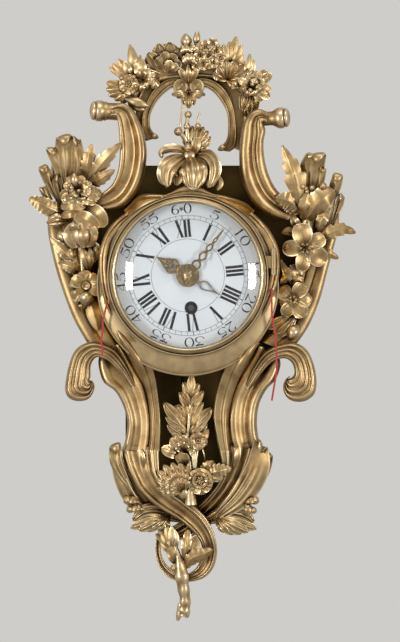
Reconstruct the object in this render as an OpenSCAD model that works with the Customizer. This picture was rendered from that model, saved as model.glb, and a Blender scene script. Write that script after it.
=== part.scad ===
// Wall-hung cartel clock: gilt bronze case, enamel dial, spring-driven movement
// with a short pendulum, an alarm hand and two pull cords.
// Drawing axes inside the modules: x to the right, y up from the dial centre,
// z out from the wall. hung() turns them into the part's own frame, +Z up,
// with the origin at the centre of the hanger hole on the wall plane.

/* [Hanging] */
// Height of the hanger hole above the dial centre
hang_drop = 178; // [170:1:190]
// Diameter of the hanger hole
hanger_bore = 8; // [5:0.5:10]
// Thickness of the hanger strap
hanger_t = 2.5; // [2:0.1:4]

/* [Case] */
// Thickness of the back plate
plate_t = 2; // [1.5:0.1:3]
// Depth from the wall to the back of the dial surround
case_depth = 64; // [60:0.5:70]
// Thickness of the dial surround
surround_t = 8; // [6:0.5:10]
// Width of the surround's rim over the top of the dial
surround_rim = 5; // [4:0.5:8]
// How far the surround's centre hangs below the dial centre
surround_drop = 8; // [6:0.5:9]
// Wall of the movement drum
drum_wall = 1.5; // [1:0.1:2.5]
// How far the surround stands out past the drum
surround_lip = 2; // [1:0.1:3]
// Height of the mouldings' relief
relief = 7; // [4:0.5:9]
// Thickness of leaves and petals
leaf_t = 3; // [2:0.1:4]
// Gap round the dial in the surround
dial_clear = 1; // [0.5:0.1:2]

/* [Bezel] */
// How far the bezel covers the edge of the dial
bezel_cover = 1.5; // [1:0.1:3]
// Width of the bezel ring
bezel_w = 7; // [6:0.1:7.5]
// Depth of the bezel ring
bezel_t = 11; // [9:0.5:13]
// Gap between the closed bezel and the surround
bezel_gap = 0.6; // [0.4:0.1:1]
// Rise of the domed glass
glass_rise = 13; // [11:0.5:16]
// Thickness of the glass
glass_t = 1.6; // [1.2:0.1:2]
// Radius of the hinge pin
hinge_pin_r = 1; // [0.8:0.1:1.3]
// Radius of the hinge knuckles
knuckle_r = 2.5; // [2.2:0.1:3]
// Length of the middle knuckle
knuckle_l = 10; // [8:0.5:14]

/* [Dial and hands] */
// Turn of the dial and movement in the case, anticlockwise, in degrees
dial_turn = 5.7; // [0:0.1:8]
// Radius of the enamel dial
dial_r = 61; // [58:0.5:61.5]
// Thickness of the dial at its rim
dial_t = 2; // [1.5:0.1:3]
// Rise of the domed dial
dial_rise = 2; // [1:0.1:3]
// Radius of the winding hole in the dial
winding_hole_r = 4.6; // [4:0.1:6]
// Place of the minute hand on the dial, in degrees from XII
minute_at = 43.6; // [0:0.1:360]
// Place of the hour hand on the dial, in degrees from XII
hour_at = 306.4; // [0:0.1:360]
// Place of the alarm hand on the dial, in degrees from XII
alarm_at = 127; // [0:0.1:360]
// Length of the minute hand
minute_l = 49; // [40:0.5:55]
// Length of the hour hand
hour_l = 30; // [24:0.5:36]
// Length of the alarm hand
alarm_l = 31; // [24:0.5:36]
// Thickness of the hands
hand_t = 0.8; // [0.6:0.1:1]
// Radius of the hour hand's chased disc
hour_disc_r = 9.4; // [7:0.2:11]

/* [Movement] */
// Gap between the movement plates and the posts round them
plate_gap = 3; // [2:0.5:4]
// Gap between the movement posts and the drum
post_gap = 2.8; // [2:0.1:4]
// Thickness of the movement plates
plates_t = 2.5; // [2:0.1:3]
// Distance of the rear plate's back from the wall
rear_plate_z = 22; // [21:0.5:24]
// Room between the back of the front plate and the surround, for the motion work
motion_room = 12; // [11:0.5:13]
// Distance from the centre arbor down to the barrel arbor
winding_drop = 26.7; // [26:0.1:28]
// Running clearance of shafts in their holes, on the radius
run = 0.08; // [0.05:0.01:0.1]
// Clearance between pieces that are fitted and do not turn
fit = 0.05; // [0.03:0.01:0.1]
// Radius of the wheel arbors
arbor_r = 1.2; // [1:0.1:1.5]
// Radius of the winding arbor
wind_r = 2.5; // [2:0.1:3]
// Radius of the mainspring barrel
barrel_r = 20; // [18:0.5:20.5]
// Height of the mainspring barrel
barrel_h = 14; // [12:0.5:14.5]

/* [Pendulum and bell] */
// Length of the pendulum from its suspension to the middle of the bob
pendulum_l = 178; // [170:1:184]
// Radius of the pendulum bob
bob_r = 9; // [7:0.5:10]
// Thickness of the pendulum bob
bob_t = 6; // [4:0.5:7]
// Radius of the pendulum rod
rod_r = 1; // [0.8:0.1:1.2]
// Radius of the bell
bell_r = 21; // [18:0.5:22]
// Depth of the bell
bell_h = 12; // [10:0.5:13]
// Thickness of the bell's wall
bell_t = 1.5; // [1:0.1:2]

/* [Pull cords] */
// Diameter of the pull cords
cord_d = 1.6; // [1:0.1:2]
// Wall of the cord eyelets
eyelet_wall = 0.7; // [0.5:0.1:1]
// Radius of the cord pulleys
pulley_r = 8; // [6:0.5:8.5]
// Thickness of the cord pulleys
pulley_t = 4; // [3:0.1:5]

/* [Hidden] */
$fn = 48;

// Case levels, out from the wall
surround_z = case_depth + surround_t;
bezel_z = surround_z + bezel_gap;
front_plate_z = case_depth - motion_room;
// Radii out from the dial
dial_hole_r = dial_r + dial_clear;
surround_r = dial_hole_r + surround_rim + surround_drop;
drum_r = surround_r - surround_lip;
drum_in = drum_r - drum_wall;
bezel_in = dial_r - bezel_cover;
bezel_out = bezel_in + bezel_w;
dial_z = case_depth + 2;
dial_face = dial_z + dial_t;
GILT = "#B98F45";
BRASS = "#B5963F";
STEEL = "#6E747A";

// Cast limbs: each row is x, y, half width, front level, back level
BACK = plate_t;
LEFT_RAIL = [
    [-108, 64, 5, 34, BACK], [-109, 47, 7, 38, BACK], [-107, 26, 7, 40, BACK],
    [-103, 5, 7, 40, BACK], [-97, -18, 7, 40, BACK], [-88, -38, 7.5, 42, BACK],
    [-78, -54, 8, 44, BACK], [-66, -66, 7, 42, BACK]
];
RIGHT_RAIL = [
    [112, 62, 5, 34, BACK], [113, 42, 7, 38, BACK], [111, 22, 7, 40, BACK],
    [107, 1, 7, 40, BACK], [102, -18, 7, 40, BACK], [94, -38, 7.5, 42, BACK],
    [84, -54, 8, 44, BACK], [72, -66, 7, 42, BACK]
];
LEFT_VOLUTE = [
    [-48, -76, 5, 48, BACK], [-56, -65, 6, 52, BACK], [-68, -58, 6.5, 55, BACK],
    [-81, -59, 6.5, 57, 8], [-90, -67, 7, 58, 10], [-95, -80, 7, 58, 12],
    [-94, -92, 7, 58, 14], [-86, -98, 6, 58, 16], [-79, -94, 4.5, 58, 18],
    [-80, -87, 2.5, 58, 20]
];
RIGHT_VOLUTE = [
    [49, -76, 5, 48, BACK], [58, -65, 6, 52, BACK], [71, -58, 6.5, 55, BACK],
    [86, -58, 6.5, 57, 8], [96, -66, 7, 58, 10], [100, -79, 7, 58, 12],
    [99, -92, 7, 58, 14], [91, -98, 6, 58, 16], [84, -94, 4.5, 58, 18],
    [85, -87, 2.5, 58, 20]
];
LEFT_LEG = [
    [-71, -44, 7, 44, BACK], [-61, -62, 10, 48, BACK], [-51, -80, 15, 50, BACK],
    [-42, -98, 16.5, 51, BACK], [-38, -116, 15.5, 51, BACK], [-38, -134, 15, 50, BACK],
    [-38, -147, 14, 48, BACK]
];
RIGHT_LEG = [
    [71, -44, 7, 44, BACK], [61, -62, 10, 48, BACK], [50, -80, 16, 50, BACK],
    [41, -98, 18, 51, BACK], [39, -116, 17, 51, BACK], [40, -134, 17, 50, BACK],
    [40, -147, 15, 48, BACK]
];
KNOT_FRONT = [
    [-38, -147.5, 14, 48, BACK], [-37, -158, 13, 48, BACK], [-31, -173, 12, 48, 6],
    [-19, -186, 11, 48, 18], [-2, -196, 10, 47, 26], [9, -208, 9, 44, 24],
    [15, -222, 8, 41, 20], [14, -235, 7, 38, 16], [6, -244, 5.5, 36, 12],
    [-6, -247, 4.5, 34, 8], [-17, -242, 4, 32, 4], [-23, -232, 3.5, 28, BACK],
    [-25, -221, 3.5, 25, BACK]
];
KNOT_REAR = [
    [40, -147.5, 15, 48, BACK], [39, -158, 14, 47, BACK], [33, -173, 12, 44, BACK],
    [20, -187, 11, 36, BACK], [4, -198, 9.5, 26, BACK], [-10, -206, 7.5, 25, BACK],
    [-20, -214, 5, 25, BACK], [-25, -221, 3.5, 25, BACK]
];
LEFT_SCROLL = [
    [-76, 56, 7, 52, BACK], [-66, 62, 9, 54, BACK], [-56, 72, 10.5, 57, BACK],
    [-49, 86, 11, 60, BACK], [-46, 102, 11, 62, BACK], [-47, 117, 10, 62, 6],
    [-47, 127, 8, 62, 12], [-51, 135, 5.5, 62, 16], [-57, 135, 4, 62, 20],
    [-57, 130, 2.5, 62, 24]
];
RIGHT_SCROLL = [
    [86, 53, 7, 52, BACK], [75, 58, 9, 54, BACK], [63, 70, 11, 57, BACK],
    [55, 84, 11.5, 60, BACK], [52, 100, 11.5, 62, BACK], [52, 115, 10.5, 62, 6],
    [54, 126, 8, 62, 12], [59, 133, 5.5, 62, 16], [65, 130, 4, 62, 20],
    [63, 125, 2.5, 62, 24]
];
ARCH_LEFT = [
    [-25, 114, 2, 30, 8], [-31.5, 119, 4.5, 32, BACK], [-36, 132, 6, 34, BACK],
    [-35, 143.5, 6.5, 34, BACK], [-28.5, 153, 6.5, 34, BACK], [-18, 159.5, 5, 34, BACK],
    [-8, 161, 3.5, 34, BACK], [-3.5, 157, 2.5, 34, 6]
];
ARCH_RIGHT = [
    [25, 106, 2, 30, 8], [33.5, 112, 4.5, 32, BACK], [39, 126, 6.5, 34, BACK],
    [39, 140, 7.5, 34, BACK], [33, 151, 7, 34, BACK], [22.5, 158.5, 5.5, 34, BACK],
    [11, 161, 3.5, 34, BACK], [6, 157, 2.5, 34, 6]
];
GARLAND_STEM = [
    [-48, 146, 4, 34, 8], [-42, 160, 7, 38, 8], [-24, 168, 7, 40, 8],
    [1, 173, 9, 40, 8], [24, 170, 7, 40, 8], [43, 161, 7, 38, 8],
    [52, 146, 4, 34, 8]
];
LEFT_VINE = [
    [-104, 60, 5, 44, 34], [-92, 70, 7, 54, 38], [-92, 50, 6, 50, 38], [-89, 32, 6, 52, 40],
    [-87, 12, 5, 50, 40], [-87, -12, 5, 52, 40]
];
RIGHT_VINE = [
    [110, 64, 5, 48, 38], [104, 57, 8, 55, 38], [98, 42, 6, 52, 40], [98, 26, 7, 55, 42],
    [94, 6, 5, 50, 40], [89, -20, 5, 52, 40], [88, -28, 4, 50, 40]
];
BOUQUET_STEM = [
    [2, -189, 5, 52, 38], [2, -172, 5, 50, 38], [1, -150, 4, 46, 36], [1, -130, 4, 44, 34]
];
TAIL_STEM = [
    [-4, -226, 3, 36, 26], [-3, -245, 4.5, 42, 30], [-4, -262, 5, 42, 30],
    [-7, -283, 3.5, 40, 32]
];

// Cord routes: out of the eyelet, then straight down, as x, y, z points
repeat_out = 2.5;
alarm_out = 0.5;
REPEAT_EYELET = [bezel_out + repeat_out, -12];
ALARM_EYELET = [-bezel_out - alarm_out, -22];
REPEAT_ROUTE = [
    [69, -12, 42], [69, -12, 46], [69, -12, 50], [69, -12, 54], [69, -12, 58], [69, -12, 62],
    [69, -12, 66], [69, -12, 70], [69, -12, 74], [69, -13, 76], [69, -15, 78], [69, -19, 79],
    [69, -25, 79], [69, -31, 79], [70, -37, 79], [71, -43, 79], [72, -49, 79], [72, -55, 79],
    [73, -61, 79], [73, -67, 79], [73, -73, 79], [73, -79, 79], [72, -85, 79], [71, -91, 79],
    [70, -97, 79], [69, -103, 79]
];
ALARM_ROUTE = [
    [-67, -22, 42], [-67, -22, 46], [-67, -22, 50], [-67, -22, 54], [-67, -22, 58], [-67, -22, 62],
    [-67, -22, 66], [-67, -22, 70], [-67, -22, 74], [-67, -23, 76], [-67, -25, 78], [-68, -29, 79],
    [-69, -34, 79], [-70, -39, 79], [-70, -45, 79], [-71, -51, 79], [-71, -57, 79], [-70, -62, 79],
    [-71, -66, 79]
];
cord_r = cord_d / 2;
cord_clear = 0.3;
eyelet_in = cord_r + cord_clear;
eyelet_out = eyelet_in + eyelet_wall;
pulley_z = 42;
pulley_inset = pulley_r + cord_r + cord_clear;

// Movement places, as x, y from the dial centre before the dial's turn
BARREL_AT = [0, -winding_drop];
CENTRE_TEETH = 60;
LEAVES = 10;
GREAT_TEETH = 60;
great_m = 2 * winding_drop / (GREAT_TEETH + LEAVES);
train_m = 0.6;
third_gap = train_m * (CENTRE_TEETH + LEAVES) / 2;
third_dir = 55;
THIRD_AT = third_gap * [cos(third_dir), sin(third_dir)];
THIRD_TEETH = 60;
escape_m = 0.45;
escape_gap = escape_m * (THIRD_TEETH + LEAVES) / 2;
escape_dir = 143;
ESCAPE_AT = THIRD_AT + escape_gap * [cos(escape_dir), sin(escape_dir)];
escape_r = 9;
ESCAPE_TEETH = 30;
pallet_rise = 14;
PALLET_AT = ESCAPE_AT + [0, pallet_rise];
CANNON_TEETH = 12;
MINUTE_TEETH = 36;
MINUTE_LEAVES = 10;
HOUR_TEETH = 40;
motion_gap = 12;
cannon_m = 2 * motion_gap / (CANNON_TEETH + MINUTE_TEETH);
hour_m = 2 * motion_gap / (MINUTE_LEAVES + HOUR_TEETH);
motion_dir = 20;
MINUTE_WHEEL_AT = motion_gap * [cos(motion_dir), sin(motion_dir)];
rear_in = rear_plate_z + plates_t;
front_out = front_plate_z + plates_t;
pinion_grip = 0.03;
RATCHET_TEETH = 24;
ratchet_r = 8.5;
click_gap = 0.4;
CLICK_AT = BARREL_AT + [ratchet_r + 4.5, 9];
stud_r = 1;
motion_stud_r = 1.5;
// Levels of the hands over the dial
pipe_out = 3;
cannon_out = 2.1;
dial_bore_r = pipe_out + 0.6;
dial_crown = dial_face + dial_rise;
alarm_z = dial_crown + 1;
hour_z = alarm_z + hand_t + 0.6;
minute_z = hour_z + hand_t + 1;
collet_z = minute_z + hand_t + 0.1;
// Levels in the going train
centre_wheel_z = rear_in + 2;
third_wheel_z = rear_in + 7;
escape_z = rear_in + 13;
barrel_z = rear_in + 7;
great_t = 2;
// The centre pinion starts behind the great wheel and ends short of the front plate
shoulder = 3;
centre_leaves_z = barrel_z + barrel_h - 1.5;
wheel_t = 1.4;
POST_ANGLES = [30, 150, 300];
post_r = 3;
post_ring = drum_in - surround_drop * sin(POST_ANGLES[0] + dial_turn) - post_r - post_gap;
plates_r = post_ring - post_r - plate_gap;
pillar_r = 3;
pillar_inset = 6;
PILLARS = [for (a = [29, 151, 222, 318])
    (plates_r - pillar_inset) * [cos(a), sin(a)]];
screw_r = 1.2;
screw_head_r = 2.4;
screw_head_t = 1.2;
// Pendulum and bell, in the case and not turned with the dial
SUSPENSION_AT = turned(PALLET_AT);
pendulum_z = 12;
rod_slot = 26;
BELL_AT = [-32, -5];
bell_z = 7;
hammer_gap = 0.6;
hammer_head_r = 2.5;
hammer_arm = 15;
hammer_lean = 80;
hammer_z = bell_z + bell_h - 4;
REPEAT_HEAD = BELL_AT + (bell_r + hammer_gap + hammer_head_r) * [cos(hammer_lean), sin(hammer_lean)];
ALARM_HEAD = BELL_AT + (bell_r + hammer_gap + hammer_head_r) * [cos(hammer_lean), -sin(hammer_lean)];
REPEAT_STUD = REPEAT_HEAD - hammer_arm * [sin(hammer_lean), -cos(hammer_lean)];
ALARM_STUD = ALARM_HEAD - hammer_arm * [sin(hammer_lean), cos(hammer_lean)];
// Hinge of the bezel, on the right
hinge_x = bezel_out + knuckle_r + 1.5;
hinge_y = 11;
hinge_z = bezel_z + knuckle_r + 2;

function turned(p) = [
    p[0] * cos(dial_turn) - p[1] * sin(dial_turn), p[0] * sin(dial_turn) + p[1] * cos(dial_turn)
];
function unit(v) = v / norm(v);

// Smooth curve through rows of numbers, with n steps between rows
function blend(a, b, c, d, t) =
    0.5 * (2 * b + (c - a) * t + (2 * a - 5 * b + 4 * c - d) * t * t + (3 * b - a - 3 * c + d) * t * t * t);
function spline(p, n) = let (last = len(p) - 1) concat(
    [for (i = [0:last - 1], k = [0:n - 1])
        blend(p[max(i - 1, 0)], p[i], p[i + 1], p[min(i + 2, last)], k / n)],
    [p[last]]
);

// Moulding section: place across the limb, -1 to 1, and height, 0 to 1
SCROLL_SECTION = [
    [-1, 0.1], [-0.8, 0.55], [-0.55, 0.15], [-0.1, 0.9], [0.3, 1], [0.6, 0.3], [0.8, 0.6], [1, 0]
];
BAND_SECTION = [[-1, 0], [-0.6, 0.8], [0, 1], [0.6, 0.8], [1, 0]];

// Faces between rings of n points each, then a fan on each end
function skin(rings, n) = concat(
    [for (i = [0:rings - 2], j = [0:n - 1]) [i * n + j, i * n + (j + 1) % n, (i + 1) * n + (j + 1) % n]],
    [for (i = [0:rings - 2], j = [0:n - 1]) [i * n + j, (i + 1) * n + (j + 1) % n, (i + 1) * n + j]],
    [for (j = [0:n - 1]) [rings * n, (j + 1) % n, j]],
    [for (j = [0:n - 1]) [rings * n + 1, (rings - 1) * n + j, (rings - 1) * n + (j + 1) % n]]
);
function outward(faces, flip) = flip > 0 ? faces : [for (f = faces) [f[2], f[1], f[0]]];

module hung() translate([0, 0, -hang_drop]) rotate([90, 0, 0]) children();
module with_dial() rotate([0, 0, dial_turn]) children();
module at(p, z = 0) translate([p[0], p[1], z]) children();

// One casting: limbs that run into each other are joined in one skin
module cast() resize([0, 0, 0]) union() children();
// One casting, its first limb trimmed by what it sits against
module cast_trimmed() resize([0, 0, 0]) difference() {
    children(0);
    children([1:$children - 1]);
}

// A moulded limb swept along rows of x, y, half width, front and back
module limb(rows, section = SCROLL_SECTION, flip = 1, steps = 3) {
    path = spline(rows, steps);
    count = len(path);
    n = len(section) + 2;
    function across(i) =
        let (a = path[max(i - 1, 0)], b = path[min(i + 1, count - 1)]) unit([a[1] - b[1], b[0] - a[0]]);
    rings = [for (i = [0:count - 1]) let (
        p = path[i],
        s = across(i) * flip * p[2],
        low = min(relief, p[2]),
        back = max(p[4], BACK)
    ) concat(
        [for (q = section) [p[0] + s[0] * q[0], p[1] + s[1] * q[0], p[3] - low * (1 - q[1])]],
        [[p[0] + s[0], p[1] + s[1], back], [p[0] - s[0], p[1] - s[1], back]]
    )];
    ends = [for (p = [path[0], path[count - 1]]) [p[0], p[1], (p[3] + 2 * max(p[4], BACK)) / 3]];
    points = concat([for (r = rings, q = r) q], ends);
    polyhedron(points, outward(skin(count, n), flip));
}

// Leaves face out from the wall, leaning a little to the side
LEAF_LEAN = [0.06, 0.04, 1];
// Each petal of a flower starts this much further out than the last
petal_step = 0.25;

// A leaf or petal from base to tip, bowed out by lift, widest near the belly
module blade(base, tip, w, lift = 3, belly = 0.8, stations = 3) {
    along = tip - base;
    aside = unit(cross(along, LEAF_LEAN));
    face = unit(cross(aside, along));
    steps = [for (i = [1:stations]) i / (stations + 1)];
    points = concat(
        [for (s = steps) let (
            c = base + along * s + face * lift * sin(180 * s),
            h = w / 2 * sin(180 * pow(s, belly))
        ) each [c + aside * h, c + face * leaf_t / 2, c - aside * h, c - face * leaf_t / 2]],
        [base, tip]
    );
    polyhedron(points, skin(stations, 4));
}

// A leaf of three lobes
module lobed(base, tip, w, lift = 3) {
    along = tip - base;
    aside = unit(cross(along, LEAF_LEAN));
    blade(base, tip, w * 0.55, lift);
    for (s = [-1, 1]) blade(base, base + along * 0.72 + aside * s * w * 0.42, w * 0.45, lift);
}

module bud(c, r, sides = 8) translate(c) sphere(r, $fn = sides);

// A flower: petals round an eye
module blossom(c, r, petals = 5, start = 90, cup = 2) {
    for (i = [0:petals - 1]) let (a = start + i * 360 / petals, d = [cos(a), sin(a), 0])
        blade(
            c + d * r * 0.1 + [0, 0, petal_step * i], c + d * r + [0, 0, cup - petal_step * i],
            1.5 * r * sin(180 / petals), 1.5, 1.3, 2
        );
    bud(c + [0.3, 0.2, 1.2], r * 0.26, 6);
}

// A six-sided stem from a to b
module stem(a, b, r) {
    along = unit(b - a);
    u = unit(cross(along, [0.3, 0.001, 1]));
    v = cross(u, along);
    points = concat(
        [for (c = [a, b], k = [0:5]) c + r * (cos(60 * k) * u + sin(60 * k) * v)],
        [a, b]
    );
    polyhedron(points, skin(2, 6));
}

// A flower's or spray's stalk, from the back plate out to it
module stalk(p, z, r) translate([p[0], p[1], BACK]) cylinder(h = z - BACK, r = r, $fn = 8);

// Solid of the drum and surround, which the castings stand clear of
module drum_room() translate([0, -surround_drop, BACK - 1]) {
    cylinder(h = case_depth + 1, r = drum_r + fit, $fn = 96);
}
module surround_room() translate([0, -surround_drop, case_depth - fit])
    cylinder(h = surround_t + 40, r = surround_r + fit, $fn = 96);

// Case
module back_plate() color("#6B5A34") linear_extrude(plate_t) difference() {
    polygon([
        [-36, 92], [44, 92], [62, 78], [80, 62], [112, 66], [119, 44], [116, 22], [112, 0],
        [106, -20], [97, -40], [86, -58], [66, -74], [56, -98], [54, -116], [55, -146],
        [50, -160], [40, -178], [22, -196], [2, -204], [-16, -196], [-36, -180], [-50, -160],
        [-52, -146], [-52, -116], [-54, -98], [-66, -74], [-80, -58], [-92, -40], [-101, -20],
        [-107, 0], [-111, 22], [-113, 44], [-110, 66], [-80, 60], [-62, 72], [-46, 84]
    ]);
    for (p = DRUM_SCREWS) translate(p) circle(screw_r + fit);
}
drum_screw_ring = drum_in - 5;
DRUM_SCREWS = [for (a = [70, 110, 230, 310])
    [drum_screw_ring * cos(a), drum_screw_ring * sin(a) - surround_drop]];

hanger_foot_y = 164;
hanger_foot_w = 30;
hanger_foot_h = 8;
module hanger_outline() hull() {
    translate([0, hang_drop]) circle(hanger_bore);
    translate([0, hanger_foot_y]) square([hanger_foot_w, hanger_foot_h], center = true);
}
module hanger_strap() color(STEEL) linear_extrude(hanger_t) difference() {
    hanger_outline();
    translate([0, hang_drop]) circle(d = hanger_bore);
}

module drum() color(BRASS) difference() {
    translate([0, -surround_drop, plate_t]) {
        difference() {
            cylinder(h = case_depth - plate_t, r = drum_r);
            translate([0, 0, -1]) cylinder(h = case_depth, r = drum_in);
        }
        for (p = DRUM_SCREWS) translate([p[0], p[1] + surround_drop, 0]) intersection() {
            cylinder(h = lug_t, r = lug_r);
            translate(-[p[0], p[1] + surround_drop, 1]) cylinder(h = lug_t + 2, r = drum_in + 0.2);
        }
    }
    translate([SUSPENSION_AT[0] - rod_slot / 2, -surround_drop - drum_r - 1, plate_t + 2])
        cube([rod_slot, 20, 16]);
    for (p = DRUM_SCREWS) translate([p[0], p[1], 0]) cylinder(h = plate_t + lug_t + 1, r = screw_r + fit);
}
lug_t = 6;
lug_r = 5.2;

module dial_surround() color(GILT) difference() {
    translate([0, -surround_drop, case_depth]) rotate_extrude() polygon([
        [0, 0], [surround_r, 0], [surround_r, surround_t * 0.35], [surround_r - 1, surround_t * 0.7],
        [surround_r - 3, surround_t * 0.8], [surround_r - 4, surround_t], [0, surround_t]
    ]);
    translate([0, 0, case_depth - 1]) cylinder(h = surround_t + 2, r = dial_hole_r);
    for (p = [REPEAT_EYELET, ALARM_EYELET]) at(p, case_depth - 1)
        cylinder(h = surround_t + 2, r = eyelet_out + fit);
}

module left_frame() color(GILT) cast_trimmed() {
    union() {
        limb(LEFT_RAIL);
        limb(LEFT_VOLUTE, flip = -1);
        limb(LEFT_LEG, flip = -1);
    }
    drum_room();
}

module right_frame() color(GILT) cast_trimmed() {
    union() {
        limb(RIGHT_RAIL, flip = -1);
        limb(RIGHT_VOLUTE);
        limb(RIGHT_LEG);
    }
    drum_room();
}

module bottom_knot() color(GILT) cast() {
    limb(KNOT_FRONT, flip = -1);
    limb(KNOT_REAR);
}

// Turned knob that the upper scroll's eye is drawn out into
module scroll_knob(p, dir, l) translate(p) rotate([0, 90 * dir, 0]) rotate_extrude($fn = 12) polygon([
    [0, 0], [6, 0], [5, l * 0.3], [6, l * 0.42], [9, l * 0.6], [8.6, l * 0.8], [5, l * 0.96], [0, l]
]);
KNOB_LEFT = [-57, 134, 50];
KNOB_RIGHT = [63, 129, 50];
knob_left_l = 25;
knob_right_l = 21;

module left_upper_scroll() color(GILT) cast_trimmed() {
    union() {
        limb(LEFT_SCROLL);
        scroll_knob(KNOB_LEFT, -1, knob_left_l);
    }
    drum_room();
}

module right_upper_scroll() color(GILT) cast_trimmed() {
    union() {
        limb(RIGHT_SCROLL, flip = -1);
        scroll_knob(KNOB_RIGHT, 1, knob_right_l);
    }
    drum_room();
}

module upper_scrolls() {
    limb(LEFT_SCROLL);
    limb(RIGHT_SCROLL, flip = -1);
}

module arch_limbs() {
    limb(ARCH_LEFT, BAND_SECTION);
    limb(ARCH_RIGHT, BAND_SECTION);
}

module crest_arch() color(GILT) cast_trimmed() {
    union() {
        arch_limbs();
        crest_boss();
        lobed([1, 161, 30], [0, 139, 36], 26, 2);
    }
    union() {
        upper_scrolls();
        translate([0, 0, -1]) linear_extrude(hanger_t + 1 + fit) offset(fit) hanger_outline();
    }
}

// Block at the top of the arch that joins its two halves
module crest_boss() translate([-5, 156, hanger_t]) cube([12, 9, 28]);

module crest_garland() color(GILT) cast_trimmed() {
    union() {
        limb(GARLAND_STEM, BAND_SECTION, steps = 2);
        blade([-41, 160, 36], [-48, 191, 36], 9);
        blade([-40, 160, 36], [-41, 185, 38], 7);
        blossom([-51, 160, 38], 15, 5, 120, 2);
        stem([-51, 160, 38], [-42, 160, 30], 3);
        blade([-46, 153, 30], [-34, 141, 38], 8);
        for (p = [[-34, 177], [-24, 190], [-13, 193], [-4, 186]])
            blade([-19, 166, 36], [p[0], p[1], 42], 12, 4);
        blossom([-22, 169, 42], 8, 5, 200, 1);
        stem([-2, 197, 37], [1, 176, 34], 2.5);
        bud([-2, 196.5, 38], 5);
        stem([6, 202, 38], [4, 175, 33], 2);
        blossom([13, 180, 40], 10, 6, 40, 2);
        stem([13, 180, 40], [10, 172, 32], 3);
        blade([-1, 163, 34], [-8, 173, 42], 6, 2);
        blade([3, 163, 34], [11, 173, 42], 6, 2);
        for (p = [[22, 195], [29, 192], [39, 197], [44, 190]])
            blade([31, 166, 36], [p[0], p[1], 42], 10, 3);
        blossom([31, 169, 41], 8, 5, 60, 1);
        blade([44, 158, 36], [51, 184, 40], 10);
        blossom([54, 157, 38], 14, 5, 20, 2);
        stem([54, 157, 38], [45, 158, 30], 3);
        blade([50, 150, 32], [56, 137, 40], 7);
    }
    union() {
        arch_limbs();
        upper_scrolls();
        scroll_knob(KNOB_LEFT, -1, knob_left_l);
        scroll_knob(KNOB_RIGHT, 1, knob_right_l);
        crest_boss();
        translate([0, 0, -1]) linear_extrude(hanger_t + 1 + fit) offset(fit) hanger_outline();
    }
}

module iris_spray() color(GILT) cast_trimmed() {
    union() {
        stalk([1, 97], 54, 5);
        bud([1, 97, 55], 7);
        blade([1, 96, 55], [0, 122, 60], 10, 2, 1.2);
        blade([2, 96, 55], [9, 124, 58], 10, 2, 1.2);
        blade([3, 96, 55], [17, 117, 58], 9, 2, 1.2);
        stem([0, 134, 58], [0, 98, 55], 1.8);
        bud([0, 133, 58], 3);
        stem([-10, 121, 60], [0, 98, 55], 1.5);
        bud([-10, 120, 60], 2.6);
        blade([2, 99, 56], [-22, 104, 62], 9, 4);
        blade([1, 99, 56], [-23, 73, 76], 15, 8, 1.1);
        blade([2, 99, 57], [3, 71, 82], 19, 8, 1.1);
        blade([2, 99, 56], [24, 73, 78], 16, 8, 1.1);
    }
    surround_room();
}

module left_spray() color(GILT) cast_trimmed() {
    union() {
        stalk([-92, 62], 42, 8);
        stalk([-88, 30], 44, 5);
        stalk([-87, -6], 44, 4);
        limb(LEFT_VINE, BAND_SECTION, steps = 2);
        lobed([-101, 58, 40], [-100, 117, 52], 26, 6);
        blade([-98, 66, 46], [-86, 109, 58], 13, 5);
        blade([-102, 56, 40], [-123, 93, 50], 14, 5);
        blade([-102, 54, 40], [-122, 74, 48], 9, 3);
        blade([-90, 70, 46], [-80, 108, 58], 12, 4);
        lobed([-88, 70, 48], [-56, 111, 66], 24, 4);
        blade([-88, 68, 48], [-61, 87, 62], 11, 3);
        blossom([-92, 74, 54], 15, 6, 20, 3);
        blade([-96, 50, 42], [-132, 63, 46], 11, 3);
        blade([-92, 54, 44], [-69, 57, 58], 12, 3, 1.1);
        blade([-92, 46, 44], [-68, 44, 58], 14, 3, 1.1);
        blossom([-89, 33, 52], 12, 5, 10, 3);
        blade([-88, 27, 44], [-113, 22, 48], 10, 3);
        blade([-88, 25, 44], [-104, 5, 50], 11, 3);
        blade([-88, 25, 44], [-76, 10, 50], 10, 3);
        blossom([-87, -8, 52], 13, 5, 106, 2);
        blade([-87, -8, 46], [-88, -27, 50], 9, 3);
    }
    union() {
        drum_room();
        surround_room();
        limb(LEFT_RAIL);
        limb(LEFT_SCROLL);
        limb(LEFT_VOLUTE, flip = -1);
    }
}

module right_spray() color(GILT) cast_trimmed() {
    union() {
        stalk([98, 58], 42, 8);
        stalk([98, 26], 44, 5);
        stalk([90, -20], 44, 4);
        limb(RIGHT_VINE, BAND_SECTION, steps = 2);
        blade([98, 60, 44], [78, 108, 56], 13, 4);
        lobed([103, 58, 44], [109, 104, 54], 24, 6);
        blade([106, 56, 42], [126, 87, 48], 12, 4);
        blade([98, 56, 44], [73, 66, 56], 12, 3);
        blossom([106, 57, 53], 13, 6, 0, 3);
        blossom([124, 54, 46], 8, 5, 30, 2);
        stem([124, 54, 47], [106, 56, 40], 3);
        blade([98, 42, 44], [138, 36, 48], 11, 3);
        blossom([98, 26, 55], 21, 5, 100, 2);
        blade([98, 22, 46], [125, 13, 48], 10, 3);
        blade([94, 12, 44], [81, 0, 52], 9, 3);
        blossom([89, -20, 52], 13, 5, 60, 2);
        lobed([88, -24, 46], [77, -49, 52], 16, 3);
    }
    union() {
        drum_room();
        surround_room();
        limb(RIGHT_RAIL, flip = -1);
        limb(RIGHT_SCROLL, flip = -1);
        limb(RIGHT_VOLUTE);
    }
}

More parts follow.
